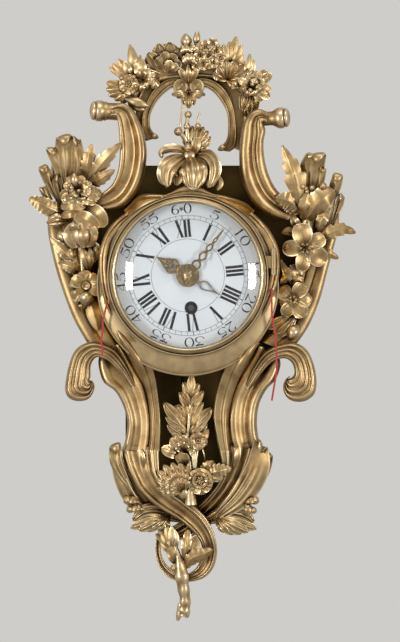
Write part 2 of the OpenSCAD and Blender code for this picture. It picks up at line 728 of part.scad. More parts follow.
module centre_bouquet() color(GILT) cast_trimmed() {
    union() {
        stalk([2.4, -177], 44, 4.3);
        limb(BOUQUET_STEM, BAND_SECTION, steps = 2);
        lobed([0, -136, 40], [3, -84, 40], 20, 4);
        blade([0, -138, 40], [-21, -105, 42], 13, 4);
        blade([1, -138, 40], [19, -109, 42], 13, 4);
        blossom([-7, -135, 46], 12, 5, 30, 2);
        stem([-7, -135, 46], [1, -142, 38], 3);
        blossom([9, -134, 46], 8, 5, 60, 2);
        stem([9, -134, 46], [1, -142, 38], 3);
        blade([1, -147, 42], [-22, -144, 44], 9, 3);
        blossom([-12, -165, 52], 14, 6, 19, 4);
        stem([-12, -165, 52], [1, -174, 42], 3.4);
        blossom([11, -168, 52], 10, 5, 16, 1);
        stem([11, -168, 52], [2, -174, 42], 3.4);
        blade([3, -166, 46], [36, -154, 48], 12, 3);
    }
    union() {
        limb(KNOT_FRONT, flip = -1);
        limb(KNOT_REAR);
        limb(LEFT_LEG, flip = -1);
        limb(RIGHT_LEG);
    }
}

// Leaves on the outside of one leg, mirrored for the other: s is -1 or 1
module leg_leaves(s) {
    stalk([s * 40, -190], 34, 9);
    blade([s * 34, -188, 32], [s * 68, -142, 44], 20, 12, 1);
    blade([s * 40, -188, 32], [s * 59, -139, 44], 14, 8);
    blade([s * 32, -188, 30], [s * 56, -185, 38], 11, 4);
    blade([s * 28, -194, 28], [s * 53, -196, 36], 12, 4);
    blade([s * 30, -192, 26], [s * 51, -209, 34], 12, 4);
    blade([s * 30, -192, 26], [s * 38, -213, 34], 11, 3);
}

module left_acanthus() color(GILT) cast_trimmed() {
    leg_leaves(-1);
    union() {
        limb(KNOT_FRONT, flip = -1);
        limb(KNOT_REAR);
        limb(LEFT_LEG, flip = -1);
    }
}

module right_acanthus() color(GILT) cast_trimmed() {
    leg_leaves(1);
    union() {
        limb(KNOT_FRONT, flip = -1);
        limb(KNOT_REAR);
        limb(RIGHT_LEG);
    }
}

module tail_sprig() color(GILT) cast_trimmed() {
    union() {
        limb(TAIL_STEM, BAND_SECTION);
        blade([-4, -246, 38], [-16, -224, 42], 9, 3);
        blade([-4, -242, 36], [0, -212, 44], 9, 3);
        blade([-4, -246, 36], [20, -228, 46], 9, 3);
        blade([-4, -242, 34], [-15, -212, 42], 8, 3);
        blade([-6, -272, 36], [-1, -286, 38], 6, 1);
    }
    limb(KNOT_FRONT, flip = -1);
}

module screws() color(STEEL) {
    for (p = DRUM_SCREWS) at(p, 0.2) cylinder(h = plate_t + lug_t - 1, r = screw_r);
    with_dial() for (a = POST_ANGLES) rotate(a) translate([post_ring, 0, front_plate_z - 6]) {
        cylinder(h = 6 + plates_t, r = screw_r);
        translate([0, 0, 6 + plates_t]) cylinder(h = screw_head_t, r = screw_head_r);
    }
}

module cord_eyelets() color(BRASS) for (p = [REPEAT_EYELET, ALARM_EYELET]) at(p, case_depth) difference() {
    union() {
        cylinder(h = surround_t + 1, r = eyelet_out);
        translate([0, 0, surround_t + fit]) cylinder(h = 1, r = eyelet_out + 0.5);
    }
    translate([0, 0, -1]) cylinder(h = surround_t + 4, r = eyelet_in);
}

// Hinge of the bezel: two knuckles on the case, one on the bezel, on a pin
module knuckle(y, l) translate([hinge_x, y, hinge_z]) rotate([90, 0, 0]) difference() {
    cylinder(h = l, r = knuckle_r, center = true);
    cylinder(h = l + 2, r = hinge_pin_r + run, center = true);
}
side_knuckle_l = knuckle_l * 0.5;
knuckle_step = knuckle_l / 2 + side_knuckle_l / 2 + 0.3;

module hinge_knuckles() color(GILT) for (s = [-1, 1]) {
    difference() {
        translate([hinge_x - knuckle_r * 0.6, hinge_y + s * knuckle_step - side_knuckle_l / 2, surround_z])
            cube([knuckle_r * 1.2, side_knuckle_l, hinge_z - surround_z]);
        translate([hinge_x, hinge_y + s * knuckle_step, hinge_z]) rotate([90, 0, 0])
            cylinder(h = side_knuckle_l + 2, r = knuckle_r - 0.2, center = true);
    }
    knuckle(hinge_y + s * knuckle_step, side_knuckle_l);
}

module hinge_pin() color(STEEL) translate([hinge_x, hinge_y, hinge_z]) rotate([90, 0, 0])
    cylinder(h = knuckle_l + 2 * side_knuckle_l + 2, r = hinge_pin_r, center = true);

module bezel_knuckle() color(GILT) {
    knuckle(hinge_y, knuckle_l);
    difference() {
        translate([bezel_out - 4, hinge_y - knuckle_l / 2, hinge_z - 1])
            cube([hinge_x - bezel_out + 4, knuckle_l, 2]);
        cylinder(h = 200, r = bezel_out + fit);
        translate([hinge_x, hinge_y, hinge_z]) rotate([90, 0, 0])
            cylinder(h = knuckle_l + 2, r = knuckle_r - 0.2, center = true);
    }
}

module bezel() color(GILT) translate([0, 0, bezel_z]) rotate_extrude() polygon([
    [glass_edge + fit, 0], [bezel_out, 0], [bezel_out, bezel_t * 0.55], [bezel_out - 0.8, bezel_t * 0.8],
    [bezel_out - 2.4, bezel_t], [bezel_out - 4, bezel_t * 0.95], [bezel_out - 5, bezel_t * 0.75],
    [bezel_in, bezel_t * 0.55], [bezel_in, bezel_t * 0.45], [glass_edge + fit, bezel_t * 0.45]
]);
glass_edge = bezel_in + 1.8;
glass_seat = bezel_z + bezel_t * 0.45;

// Domed glass with a flat edge behind the bezel's lip
module glass() color("#DDEEF2", 0.35) translate([0, 0, glass_seat - fit]) rotate_extrude() polygon(concat(
    [[glass_edge, -glass_t], [glass_edge, 0], [dome_r, 0]],
    [for (i = [1:10]) dome_point(i / 10, dome_r, 0)],
    [for (i = [10:-1:1]) dome_point(i / 10, dome_r - glass_t, -glass_t)],
    [[dome_r - glass_t, -glass_t]]
));
dome_r = bezel_in - 0.3;
function dome_point(t, r, z) = [r * cos(90 * t), z + glass_rise * pow(sin(90 * t), 2)];

// Dial and movement, turned together in the case
module enamel_dial() color("#F1EEE6") with_dial() difference() {
    union() {
        translate([0, 0, dial_z]) rotate_extrude() polygon(concat(
            [[0, 0], [dial_r, 0]],
            [for (i = [10:-1:0]) let (r = dial_r * i / 10) [r, dial_t + dial_rise * (1 - i * i / 100)]]
        ));
        for (a = [70, 190, 300]) rotate(a) translate([dial_foot_ring, 0, front_out])
            cylinder(h = dial_z - front_out + 0.1, r = 1.8);
    }
    cylinder(h = 200, r = dial_bore_r);
    at(BARREL_AT) cylinder(h = 200, r = winding_hole_r);
}
dial_foot_ring = 46;

module plate_holes() {
    cylinder(h = 200, r = arbor_r + run);
    for (p = [THIRD_AT, ESCAPE_AT, PALLET_AT]) at(p) cylinder(h = 200, r = arbor_r + run);
    at(BARREL_AT) cylinder(h = 200, r = wind_r + run);
}

module front_movement_plate() color(BRASS) with_dial() {
    difference() {
        translate([0, 0, front_plate_z]) union() {
            cylinder(h = plates_t, r = plates_r);
            for (a = POST_ANGLES) rotate(a) translate([plates_r - 6, -5, 0])
                cube([post_ring - plates_r + 10, 10, plates_t]);
        }
        plate_holes();
        for (p = PILLARS) at(p) cylinder(h = 200, r = screw_r + fit);
        for (a = POST_ANGLES) rotate(a) translate([post_ring, 0, 0]) cylinder(h = 200, r = screw_r + fit);
    }
    at(MINUTE_WHEEL_AT, front_out - 0.2) cylinder(h = 7, r = motion_stud_r);
    at(CLICK_AT, front_out - 0.2) cylinder(h = 3, r = stud_r);
}

module rear_movement_plate() color(BRASS) with_dial() difference() {
    translate([0, 0, rear_plate_z]) cylinder(h = plates_t, r = plates_r);
    plate_holes();
    for (p = PILLARS) at(p) cylinder(h = 200, r = screw_r + fit);
}

module plate_pillars() color(BRASS) with_dial() for (p = PILLARS) at(p) {
    translate([0, 0, rear_in]) rotate_extrude() polygon([
        [0, 0], [pillar_r, 0], [pillar_r, 3], [pillar_r - 1, 5], [pillar_r, 8], [pillar_r, pillar_l - 8],
        [pillar_r - 1, pillar_l - 5], [pillar_r, pillar_l - 3], [pillar_r, pillar_l], [0, pillar_l]
    ]);
    translate([0, 0, rear_plate_z - 1]) cylinder(h = front_out - rear_plate_z + 2, r = screw_r);
}
pillar_l = front_plate_z - rear_in;

module movement_posts() color(BRASS) with_dial() for (a = POST_ANGLES) rotate(a)
    translate([post_ring, 0, plate_t]) difference() {
        cylinder(h = front_plate_z - plate_t, r = post_r);
        translate([0, 0, front_plate_z - plate_t - 8]) cylinder(h = 10, r = screw_r + fit);
    }

module suspension_cock() color(BRASS) at(SUSPENSION_AT) {
    translate([-5, 4.5, pendulum_z - 3]) cube([10, 6, rear_plate_z - pendulum_z + 3]);
    translate([-2.5, 0.4, pendulum_z - 2.5]) cube([5, 5, 5]);
}

module bell() color("#C9C2A8") at(BELL_AT, bell_z) difference() {
    rotate_extrude() polygon(concat(
        [[0, 0]],
        [for (i = [0:8]) let (a = 90 * i / 8)
            [bell_r * 0.3 + bell_r * 0.7 * sin(a), bell_h * (1 - cos(a))]],
        [for (i = [8:-1:0]) let (a = 90 * i / 8)
            [bell_r * 0.3 + (bell_r * 0.7 - bell_t) * sin(a), bell_t + (bell_h - bell_t) * (1 - cos(a))]],
        [[0, bell_t]]
    ));
    translate([0, 0, -1]) cylinder(h = bell_t + 2, r = screw_r + fit);
}

module bell_and_hammer_posts() color(BRASS) {
    at(BELL_AT, bell_z - 1) cylinder(h = bell_t + 1.2, r = screw_r);
    at(BELL_AT, bell_z + bell_t + fit) cylinder(h = rear_plate_z - bell_z - bell_t - fit, r = 3);
    for (p = [REPEAT_STUD, ALARM_STUD]) at(p, hammer_z - 1)
        cylinder(h = rear_plate_z - hammer_z + 1, r = stud_r);
}

// Clevis on the back plate that carries a cord's pulley on an upright pin
module pulley_bracket(p, dir) translate([p[0] - dir * pulley_inset, p[1], 0]) {
    for (s = [-1, 1]) translate([-3, s * (pulley_t / 2 + 1.3) - 1, plate_t])
        cube([6, 2, pulley_z - plate_t + 4]);
    translate([0, 0, pulley_z]) rotate([90, 0, 0]) cylinder(h = pulley_t + 3, r = stud_r, center = true);
}
module pulley_brackets() color(BRASS) {
    pulley_bracket(REPEAT_EYELET, 1);
    pulley_bracket(ALARM_EYELET, -1);
}

module pulley(p, dir) translate([p[0] - dir * pulley_inset, p[1], pulley_z]) rotate([90, 0, 0])
    rotate_extrude() polygon([
        [stud_r + run, -pulley_t / 2], [pulley_r, -pulley_t / 2], [pulley_r - 2, -0.5], [pulley_r - 2, 0.5],
        [pulley_r, pulley_t / 2], [stud_r + run, pulley_t / 2]
    ]);
module repeat_pulley() color(BRASS) pulley(REPEAT_EYELET, 1);
module alarm_pulley() color(BRASS) pulley(ALARM_EYELET, -1);

// Hammer: hub on its stud, arm and round head beside the bell's rim
module hammer(stud, head) {
    difference() {
        union() {
            at(stud, hammer_z) cylinder(h = 3, r = 2.5);
            at(stud, hammer_z) rotate([0, 0, atan2(head[1] - stud[1], head[0] - stud[0])])
                translate([2, -0.7, 0.5]) cube([hammer_arm - 3, 1.4, 2]);
            at(head, hammer_z - 1) cylinder(h = 5, r = hammer_head_r);
        }
        at(stud, hammer_z - 1) cylinder(h = 5, r = stud_r + run);
    }
}
module repeat_hammer() color(STEEL) hammer(REPEAT_STUD, REPEAT_HEAD);
module alarm_hammer() color(STEEL) hammer(ALARM_STUD, ALARM_HEAD);

// Wheels: stub involute teeth, thinned for play
function roll(rb, r) = let (a = acos(min(1, rb / r))) tan(a) * 180 / PI - a;
function tooth_half(z, m, r) = let (rp = z * m / 2, rb = rp * cos(25))
    90 / z * 0.86 + roll(rb, rp) - roll(rb, max(r, rb));
function gear(z, m) = let (rp = z * m / 2, root = rp - 0.95 * m, tip = rp + 0.6 * m) [
    for (i = [0:z - 1]) for (q = [[root, -1], [rp, -1], [tip, -1], [tip, 1], [rp, 1], [root, 1]])
        let (a = 360 * i / z + q[1] * tooth_half(z, m, q[0])) q[0] * [cos(a), sin(a)]
];
// Teeth point along dir, or gaps do
module teeth(z, m, t, dir, gap = false) rotate([0, 0, dir + (gap ? 180 / z : 0)])
    linear_extrude(t) polygon(gear(z, m));

// A crossed-out wheel with a bore for its arbor
module wheel(z, m, t, dir, bore, spokes = 4, gap = false) {
    rim = z * m / 2 - 0.95 * m - 1.5;
    difference() {
        teeth(z, m, t, dir, gap);
        translate([0, 0, -1]) cylinder(h = t + 2, r = bore / cos(15), $fn = 12);
        for (i = [0:spokes - 1]) rotate([0, 0, 360 * i / spokes + 20]) translate([0, 0, -1])
            linear_extrude(t + 2) polygon([
                (bore + 2.2) * [cos(14), sin(14)], rim * [cos(8), sin(8)], rim * [cos(26), sin(26)],
                rim * [cos(44), sin(44)], rim * [cos(62), sin(62)],
                rim * [cos(360 / spokes - 10), sin(360 / spokes - 10)],
                (bore + 2.2) * [cos(360 / spokes - 16), sin(360 / spokes - 16)]
            ]);
    }
}
third_line = atan2(THIRD_AT[1], THIRD_AT[0]);

module centre_arbor() color(STEEL) with_dial() difference() {
    union() {
        translate([0, 0, rear_plate_z]) cylinder(h = collet_z + 3 - rear_plate_z, r = arbor_r);
        translate([0, 0, centre_leaves_z]) teeth(LEAVES, great_m, front_plate_z - shoulder - centre_leaves_z, -90);
    }
    rotate([0, 0, -minute_at]) translate([0, 0, collet_z + 1.9]) rotate([90, 0, 0])
        cylinder(h = 20, r = 0.65, center = true);
}

module centre_wheel() color(BRASS) with_dial() translate([0, 0, centre_wheel_z])
    wheel(CENTRE_TEETH, train_m, wheel_t, third_line, arbor_r + fit);

module cannon_pinion() color(STEEL) with_dial() difference() {
    union() {
        translate([0, 0, front_out + 1]) cylinder(h = collet_z - front_out - 1.1, r = cannon_out);
        translate([0, 0, front_out + 1.2]) teeth(CANNON_TEETH, cannon_m, 2, motion_dir);
    }
    cylinder(h = 200, r = arbor_r + run);
}

module minute_wheel() color(BRASS) with_dial() at(MINUTE_WHEEL_AT, front_out + 1.5) difference() {
    union() {
        teeth(MINUTE_TEETH, cannon_m, wheel_t, motion_dir + 180, true);
        translate([0, 0, wheel_t - 0.1]) teeth(MINUTE_LEAVES, hour_m, 3, motion_dir + 180);
    }
    translate([0, 0, -1]) cylinder(h = 10, r = motion_stud_r + run);
}

module hour_wheel() color(BRASS) with_dial() difference() {
    union() {
        translate([0, 0, front_out + 3.5]) teeth(HOUR_TEETH, hour_m, wheel_t, motion_dir, true);
        translate([0, 0, front_out + 3.5]) cylinder(h = hour_z + hand_t - front_out - 3.5, r = pipe_out);
    }
    cylinder(h = 200, r = cannon_out + run);
}

// Hands, pointing up before they are turned to their place
module hand_outline(points)
    polygon(concat(points, [for (i = [len(points) - 1:-1:0]) [-points[i][0], points[i][1]]]));
module pointed(z, angle) with_dial() rotate([0, 0, -angle]) translate([0, 0, z])
    linear_extrude(hand_t) children();

module minute_hand() color(GILT) pointed(minute_z, minute_at) difference() {
    union() {
        circle(5);
        hand_outline([
            [1.2, 4], [3.4, 9], [1.4, 14], [3, 19], [1.2, 24], [3.2, 29], [1, 33], [1.6, 37], [0.2, minute_l]
        ]);
    }
    circle(cannon_out + fit);
    for (y = [9, 19, 29]) translate([0, y]) hand_eye(1.8, 4);
}
module hand_eye(w, l) polygon([[0, l / 2], [w / 2, 0], [0, -l / 2], [-w / 2, 0]]);

module hour_hand() color(GILT) pointed(hour_z, hour_at) difference() {
    union() {
        circle(hour_disc_r);
        hand_outline([[2, 8], [4, 12], [5.6, 16], [4.2, 20], [1.4, 24], [0.2, hour_l]]);
    }
    circle(pipe_out + fit);
    translate([0, 15]) hand_eye(4, 8);
}

module alarm_hand() color(STEEL) pointed(alarm_z, alarm_at) difference() {
    union() {
        circle(5.5);
        hand_outline([[0.9, 5], [0.8, 14], [3.6, 20], [4.2, 24], [2.2, 28], [0.2, alarm_l]]);
    }
    circle(pipe_out + run);
    polygon([[0, 16], [2.4, 21], [2.8, 24], [1.4, 27], [0, 28.5], [-1.4, 27], [-2.8, 24], [-2.4, 21]]);
}

// Collet and taper pin that hold the minute hand
module hand_collet() color(GILT) with_dial() {
    translate([0, 0, collet_z]) difference() {
        cylinder(h = 1, r = 3.2);
        translate([0, 0, -1]) cylinder(h = 3, r = arbor_r + fit);
    }
    rotate([0, 0, -minute_at]) translate([0, 0, collet_z + 1.9]) rotate([90, 0, 0])
        cylinder(h = 9, r = 0.6, center = true);
}

module barrel() color(BRASS) with_dial() at(BARREL_AT, barrel_z) difference() {
    union() {
        cylinder(h = barrel_h, r = barrel_r);
        translate([0, 0, barrel_h - 0.1]) teeth(GREAT_TEETH, great_m, great_t, 90, true);
    }
    translate([0, 0, -1]) cylinder(h = barrel_h, r = barrel_r - 1.5);
    cylinder(h = 200, r = wind_r + run, center = true);
}

// Mainspring: a wound strip inside the barrel
SPRING_TURNS = 6;
spring_in = wind_r + 3;
spring_out = barrel_r - 2.2;
function coil(t, off) =
    let (a = 360 * SPRING_TURNS * t, r = spring_in + (spring_out - spring_in) * t + off) r * [cos(a), sin(a)];
module mainspring() color(STEEL) with_dial() at(BARREL_AT, barrel_z + 0.5)
    linear_extrude(barrel_h - 2.5) polygon(concat(
    [for (i = [0:SPRING_TURNS * 16]) coil(i / (SPRING_TURNS * 16), 0.3)],
    [for (i = [SPRING_TURNS * 16:-1:0]) coil(i / (SPRING_TURNS * 16), -0.3)]
));

module winding_arbor() color(STEEL) with_dial() at(BARREL_AT) {
    translate([0, 0, rear_plate_z]) cylinder(h = front_out + 3.5 - rear_plate_z, r = wind_r);
    translate([-square_w / 2, -square_w / 2, front_out + 3.4])
        cube([square_w, square_w, dial_face - front_out - 3.4]);
}
square_w = 3.4;

module ratchet_wheel() color(STEEL) with_dial() at(BARREL_AT, front_out + 0.5)
    linear_extrude(1.8) difference() {
    polygon([for (i = [0:RATCHET_TEETH - 1]) for (q = [[ratchet_r, 0], [ratchet_r - 1.2, 0.12]])
        let (a = 360 * (i + q[1]) / RATCHET_TEETH) q[0] * [cos(a), sin(a)]]);
    circle(wind_r + fit);
}

// Click: hub on its stud, tail reaching to the ratchet teeth
module click() color(STEEL) with_dial() at(CLICK_AT, front_out + 0.5) difference() {
    union() {
        cylinder(h = 1.8, r = 2.4);
        linear_extrude(1.8) polygon([[-2.2, -0.4], [2.2, -0.4], click_tip + [0.9, 0], click_tip]);
    }
    translate([0, 0, -1]) cylinder(h = 4, r = stud_r + run);
}
click_reach = ratchet_r + click_gap;
click_tip = BARREL_AT + click_reach * [cos(10), sin(10)] - CLICK_AT;

module third_wheel() color(BRASS) with_dial() at(THIRD_AT) {
    translate([0, 0, third_wheel_z]) wheel(THIRD_TEETH, escape_m, wheel_t, escape_dir, arbor_r - pinion_grip);
    translate([0, 0, rear_plate_z]) cylinder(h = front_out - rear_plate_z, r = arbor_r);
    translate([0, 0, centre_wheel_z - 1]) teeth(LEAVES, train_m, wheel_t + 2, third_line + 180, true);
}

module escape_wheel() color(BRASS) with_dial() at(ESCAPE_AT) {
    translate([0, 0, escape_z]) linear_extrude(1) polygon([
        for (i = [0:ESCAPE_TEETH - 1]) for (q = [[escape_r, 0], [escape_r - 2, 0.15], [escape_r - 2, 0.75]])
            let (a = 360 * (i + q[1]) / ESCAPE_TEETH) q[0] * [cos(a), sin(a)]
    ]);
    translate([0, 0, rear_plate_z]) cylinder(h = front_out - rear_plate_z, r = arbor_r);
    translate([0, 0, third_wheel_z - 1]) teeth(LEAVES, escape_m, wheel_t + 2, escape_dir + 180, true);
}

// Anchor, its arbor, and the crutch that drives the pendulum
pallet_gap = 0.9;
module pallets() color(STEEL) {
    with_dial() at(PALLET_AT) {
        translate([0, 0, crutch_z]) cylinder(h = front_out - crutch_z, r = arbor_r);
        translate([0, 0, escape_z - 0.3]) linear_extrude(1.6) difference() {
            polygon([
                [0, 3], [-4, 1.5], [-9, -5], [-9.5, -9.5], [-8, -9.5], [-6.5, -5], [0, -2],
                [6.5, -5], [8, -9.5], [9.5, -9.5], [9, -5], [4, 1.5]
            ]);
            translate([0, -pallet_rise]) circle(escape_r + pallet_gap);
        }
    }
    at(SUSPENSION_AT) {
        translate([-1.5, -crutch_l, crutch_z]) cube([3, crutch_l, 1.4]);
        for (s = [-1, 1]) translate([s * (rod_r + 0.9), -crutch_l, pendulum_z - 1.5])
            cylinder(h = crutch_z - pendulum_z + 2, r = 0.7);
        translate([-2.6, -crutch_l - 1, crutch_z]) cube([5.2, 2, 1.4]);
    }
}
crutch_z = rear_plate_z - 4;
crutch_l = 36;

module pendulum_rod() color(STEEL) at(SUSPENSION_AT, pendulum_z) {
    translate([-1.5, -12, -0.2]) cube([3, 11.6, 0.4]);
    translate([0, -11, 0]) rotate([90, 0, 0]) cylinder(h = pendulum_l + bob_r - 9, r = rod_r);
}

module pendulum_bob() color(BRASS) at(SUSPENSION_AT + [0, -pendulum_l], pendulum_z) difference() {
    rotate_extrude() polygon([
        [0, -bob_t / 2], [bob_r * 0.7, -bob_t * 0.32], [bob_r, -0.4],
        [bob_r, 0.4], [bob_r * 0.7, bob_t * 0.32], [0, bob_t / 2]
    ]);
    rotate([90, 0, 0]) cylinder(h = 4 * bob_r, r = rod_r + fit, center = true);
}

// A cord: an eight-sided tube along its route
module cord(route) {
    count = len(route);
    function ahead(i) = unit(route[min(i + 1, count - 1)] - route[max(i - 1, 0)]);
    rings = [for (i = [0:count - 1]) let (t = ahead(i), u = unit(cross(t, [1, 0, 0])), v = cross(u, t))
        [for (k = [0:7]) route[i] + cord_r * (cos(45 * k) * u + sin(45 * k) * v)]];
    points = concat([for (r = rings, q = r) q], [route[0], route[count - 1]]);
    polyhedron(points, skin(count, 8));
}
module repeat_cord() color("#B3161D") cord(REPEAT_ROUTE);
module alarm_cord() color("#B3161D") cord(ALARM_ROUTE);

hung() back_plate();
hung() hanger_strap();
hung() drum();
hung() dial_surround();
hung() left_frame();
hung() right_frame();
hung() bottom_knot();
hung() left_upper_scroll();
hung() right_upper_scroll();
hung() crest_arch();
hung() crest_garland();
hung() iris_spray();
hung() left_spray();
hung() right_spray();
hung() centre_bouquet();
hung() left_acanthus();
hung() right_acanthus();
hung() tail_sprig();
hung() screws();
hung() cord_eyelets();
hung() hinge_knuckles();
hung() hinge_pin();
hung() enamel_dial();
hung() front_movement_plate();
hung() rear_movement_plate();
hung() plate_pillars();
hung() movement_posts();
hung() suspension_cock();
hung() bell();
hung() bell_and_hammer_posts();
hung() pulley_brackets();
hung() bezel();
hung() glass();
hung() bezel_knuckle();
hung() minute_hand();
hung() hand_collet();
hung() cannon_pinion();
hung() centre_arbor();
hung() centre_wheel();
hung() hour_hand();
hung() hour_wheel();
hung() alarm_hand();
hung() minute_wheel();
hung() barrel();
hung() mainspring();
hung() winding_arbor();
hung() ratchet_wheel();
hung() click();
hung() third_wheel();
hung() escape_wheel();
hung() pallets();
hung() pendulum_rod();
hung() pendulum_bob();
hung() repeat_cord();
hung() alarm_cord();
hung() repeat_pulley();
hung() alarm_pulley();
hung() repeat_hammer();
hung() alarm_hammer();
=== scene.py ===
"""Cartel clock: gilt bronze case, enamel dial, hinged glass, movement and pull cords.

Shapes are placed on the clock's front elevation: u runs right and v runs down in units of the
elevation drawing, z runs out from the wall in millimetres. spot() turns them into millimetres from
the dial's centre, and part_point() turns those into the part's frame. Lengths are in millimetres,
unless a line names another unit.
"""

import logging
import math
from dataclasses import dataclass, field
from enum import Enum
from typing import Optional, Sequence

import bmesh
import bpy
import numpy as np
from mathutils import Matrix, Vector


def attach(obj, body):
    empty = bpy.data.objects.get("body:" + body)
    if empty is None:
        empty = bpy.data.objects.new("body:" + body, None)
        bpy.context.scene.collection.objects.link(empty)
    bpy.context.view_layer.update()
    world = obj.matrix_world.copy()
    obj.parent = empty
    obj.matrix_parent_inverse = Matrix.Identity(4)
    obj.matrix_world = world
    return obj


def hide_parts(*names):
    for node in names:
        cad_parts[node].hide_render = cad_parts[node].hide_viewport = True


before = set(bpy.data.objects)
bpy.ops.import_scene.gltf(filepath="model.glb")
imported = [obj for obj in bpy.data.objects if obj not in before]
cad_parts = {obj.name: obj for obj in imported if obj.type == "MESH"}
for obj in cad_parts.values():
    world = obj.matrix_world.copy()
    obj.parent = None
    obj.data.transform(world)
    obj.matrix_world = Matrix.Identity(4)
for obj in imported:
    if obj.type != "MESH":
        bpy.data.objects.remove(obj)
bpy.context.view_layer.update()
LOG = logging.getLogger("cartel_clock")

MM = 0.001
DRAWING_UNIT = 0.8333  # millimetres of the clock in one unit of its elevation drawing
DIAL_U, DIAL_V = 188.0, 276.0  # the dial's centre on the drawing
HANG_DROP = 178.0  # from the hanger hole down to the dial's centre
DIAL_TURN = math.radians(5.7)  # the dial sits turned anticlockwise in its case

Row = Sequence[float]
Rows = Sequence[Row]
Point = np.ndarray
Tree = bpy.types.NodeTree
Node = bpy.types.Node
Socket = bpy.types.NodeSocket
Piece = bpy.types.Object


class Pen(Enum):
    """Stroke of a minute figure, with its greatest width in millimetres."""

    SHADED = 1.3
    HAIR = 0.34
    FLAG = 0.95


def part_point(x: float, y: float, z: float) -> tuple[float, float, float]:
    """Place in metres from millimetres: x right and y up from the dial centre, z out from the wall."""
    return (x * MM, -z * MM, (y - HANG_DROP) * MM)


def spot(u: float, v: float, z: float) -> Point:
    """Millimetres from the dial's centre, from a place on the elevation drawing."""
    return np.array([(u - DIAL_U) * DRAWING_UNIT, (DIAL_V - v) * DRAWING_UNIT, z])


def linear(hex_colour: str) -> tuple[float, float, float, float]:
    """Linear colour from an sRGB hex value.

    Args:
        hex_colour: a hash sign and six hex digits.
    Returns:
        Red, green, blue and 1.
    """
    channels = [int(hex_colour[i:i + 2], 16) / 255 for i in (1, 3, 5)]
    flat = [c / 12.92 if c <= 0.04045 else ((c + 0.055) / 1.055) ** 2.4 for c in channels]
    return (flat[0], flat[1], flat[2], 1.0)


def per_mm(size: float) -> float:
    """Texture scale, per metre, of a pattern whose feature is size millimetres."""
    return 1000.0 / size


def smooth_rows(rows: Rows, steps: int) -> np.ndarray:
    """Catmull-Rom curve through rows of numbers.

    Args:
        rows: the rows, each of the same length.
        steps: how many parts each span is cut into.
    Returns:
        The rows of the finer curve.
    """
    p = np.asarray(rows, dtype=float)
    last = len(p) - 1
    out = []
    for i in range(last):
        a, b, c, d = p[max(i - 1, 0)], p[i], p[i + 1], p[min(i + 2, last)]
        for k in range(steps):
            t = k / steps
            square = (2 * a - 5 * b + 4 * c - d) * t ** 2
            cube = (3 * b - a - 3 * c + d) * t ** 3
            out.append(0.5 * (2 * b + (c - a) * t + square + cube))
    out.append(p[last])
    return np.array(out)


def unit(v: Point) -> Point:
    """The vector at length one."""
    n = np.linalg.norm(v)
    return v / n if n > 1e-9 else v


def run_along(path: np.ndarray) -> np.ndarray:
    """Distance along a path to each of its points."""
    return np.concatenate([[0], np.cumsum(np.linalg.norm(np.diff(path, axis=0), axis=1))])


def round_turn(count: int) -> np.ndarray:
    """Directions spread evenly round a circle, in radians."""
    return np.linspace(0, 2 * math.pi, count + 1)[:-1]


def hoop(centre: Point, x: Point, y: Point, radius: float | np.ndarray, turn: np.ndarray) -> np.ndarray:
    """Points round a centre.

    Args:
        centre: the centre.
        x: direction of the first point.
        y: direction at right angles to it; the points run away from it.
        radius: one radius, or one for each point.
        turn: the points' directions, in radians.
    Returns:
        The points.
    """
    return centre + np.outer(radius * np.cos(turn), x) - np.outer(radius * np.sin(turn), y)


def put(name: str, data: bpy.types.ID) -> Piece:
    """A new object in the scene that shows the data.

    Args:
        name: the object's name.
        data: its mesh, curve, lamp or camera.
    Returns:
        The object.
    """
    piece = bpy.data.objects.new(name, data)
    bpy.context.collection.objects.link(piece)
    return piece


# Finishes: each is made once as a material, and every material is built through add() and fit().

SMOOTH = {"interpolation_type": "SMOOTHSTEP"}  # settings of a range that eases in and out
COLOUR = {"data_type": "RGBA"}  # settings of a mix of two colours: inputs 6 and 7, output 2


def fit(tree: Tree, node: Node, settings: dict, links: dict) -> Node:
    """Set a shader node's values and link what feeds it.

    Args:
        tree: the material's node tree.
        node: the node.
        settings: attributes to set, or input values where the name is an input's.
        links: input name or number to what feeds it, a socket or a node by its first output.
    Returns:
        The node.
    """
    for name, value in settings.items():
        if isinstance(name, int) or name in node.inputs:
            node.inputs[name].default_value = value
        else:
            setattr(node, name, value)
    for name, source in links.items():
        tree.links.new(source.outputs[0] if isinstance(source, Node) else source, node.inputs[name])
    return node


def add(tree: Tree, kind: str, settings: Optional[dict] = None, links: Optional[dict] = None) -> Node:
    """Add a shader node, of the type that ShaderNode and the kind name, with its settings and links."""
    return fit(tree, tree.nodes.new("ShaderNode" + kind), settings or {}, links or {})


@dataclass(frozen=True)
class Finish:
    """A surface finish, made once as a material."""

    name: str

    def material(self) -> bpy.types.Material:
        """The finish's material, made on first use.

        Returns:
            The material.
        """
        made = bpy.data.materials.get(self.name)
        if made:
            return made
        made = bpy.data.materials.new(self.name)
        made.use_nodes = True
        tree = made.node_tree
        shader = tree.nodes["Principled BSDF"]
        self.dress(tree, shader, add(tree, "TexCoord").outputs["Object"])
        return made

    def dress(self, tree: Tree, shader: Node, place: Socket) -> None:
        """Give the shader its look.

        Args:
            tree: the material's node tree.
            shader: its surface shader.
            place: the place on the piece, which patterns follow.
        """
        raise NotImplementedError


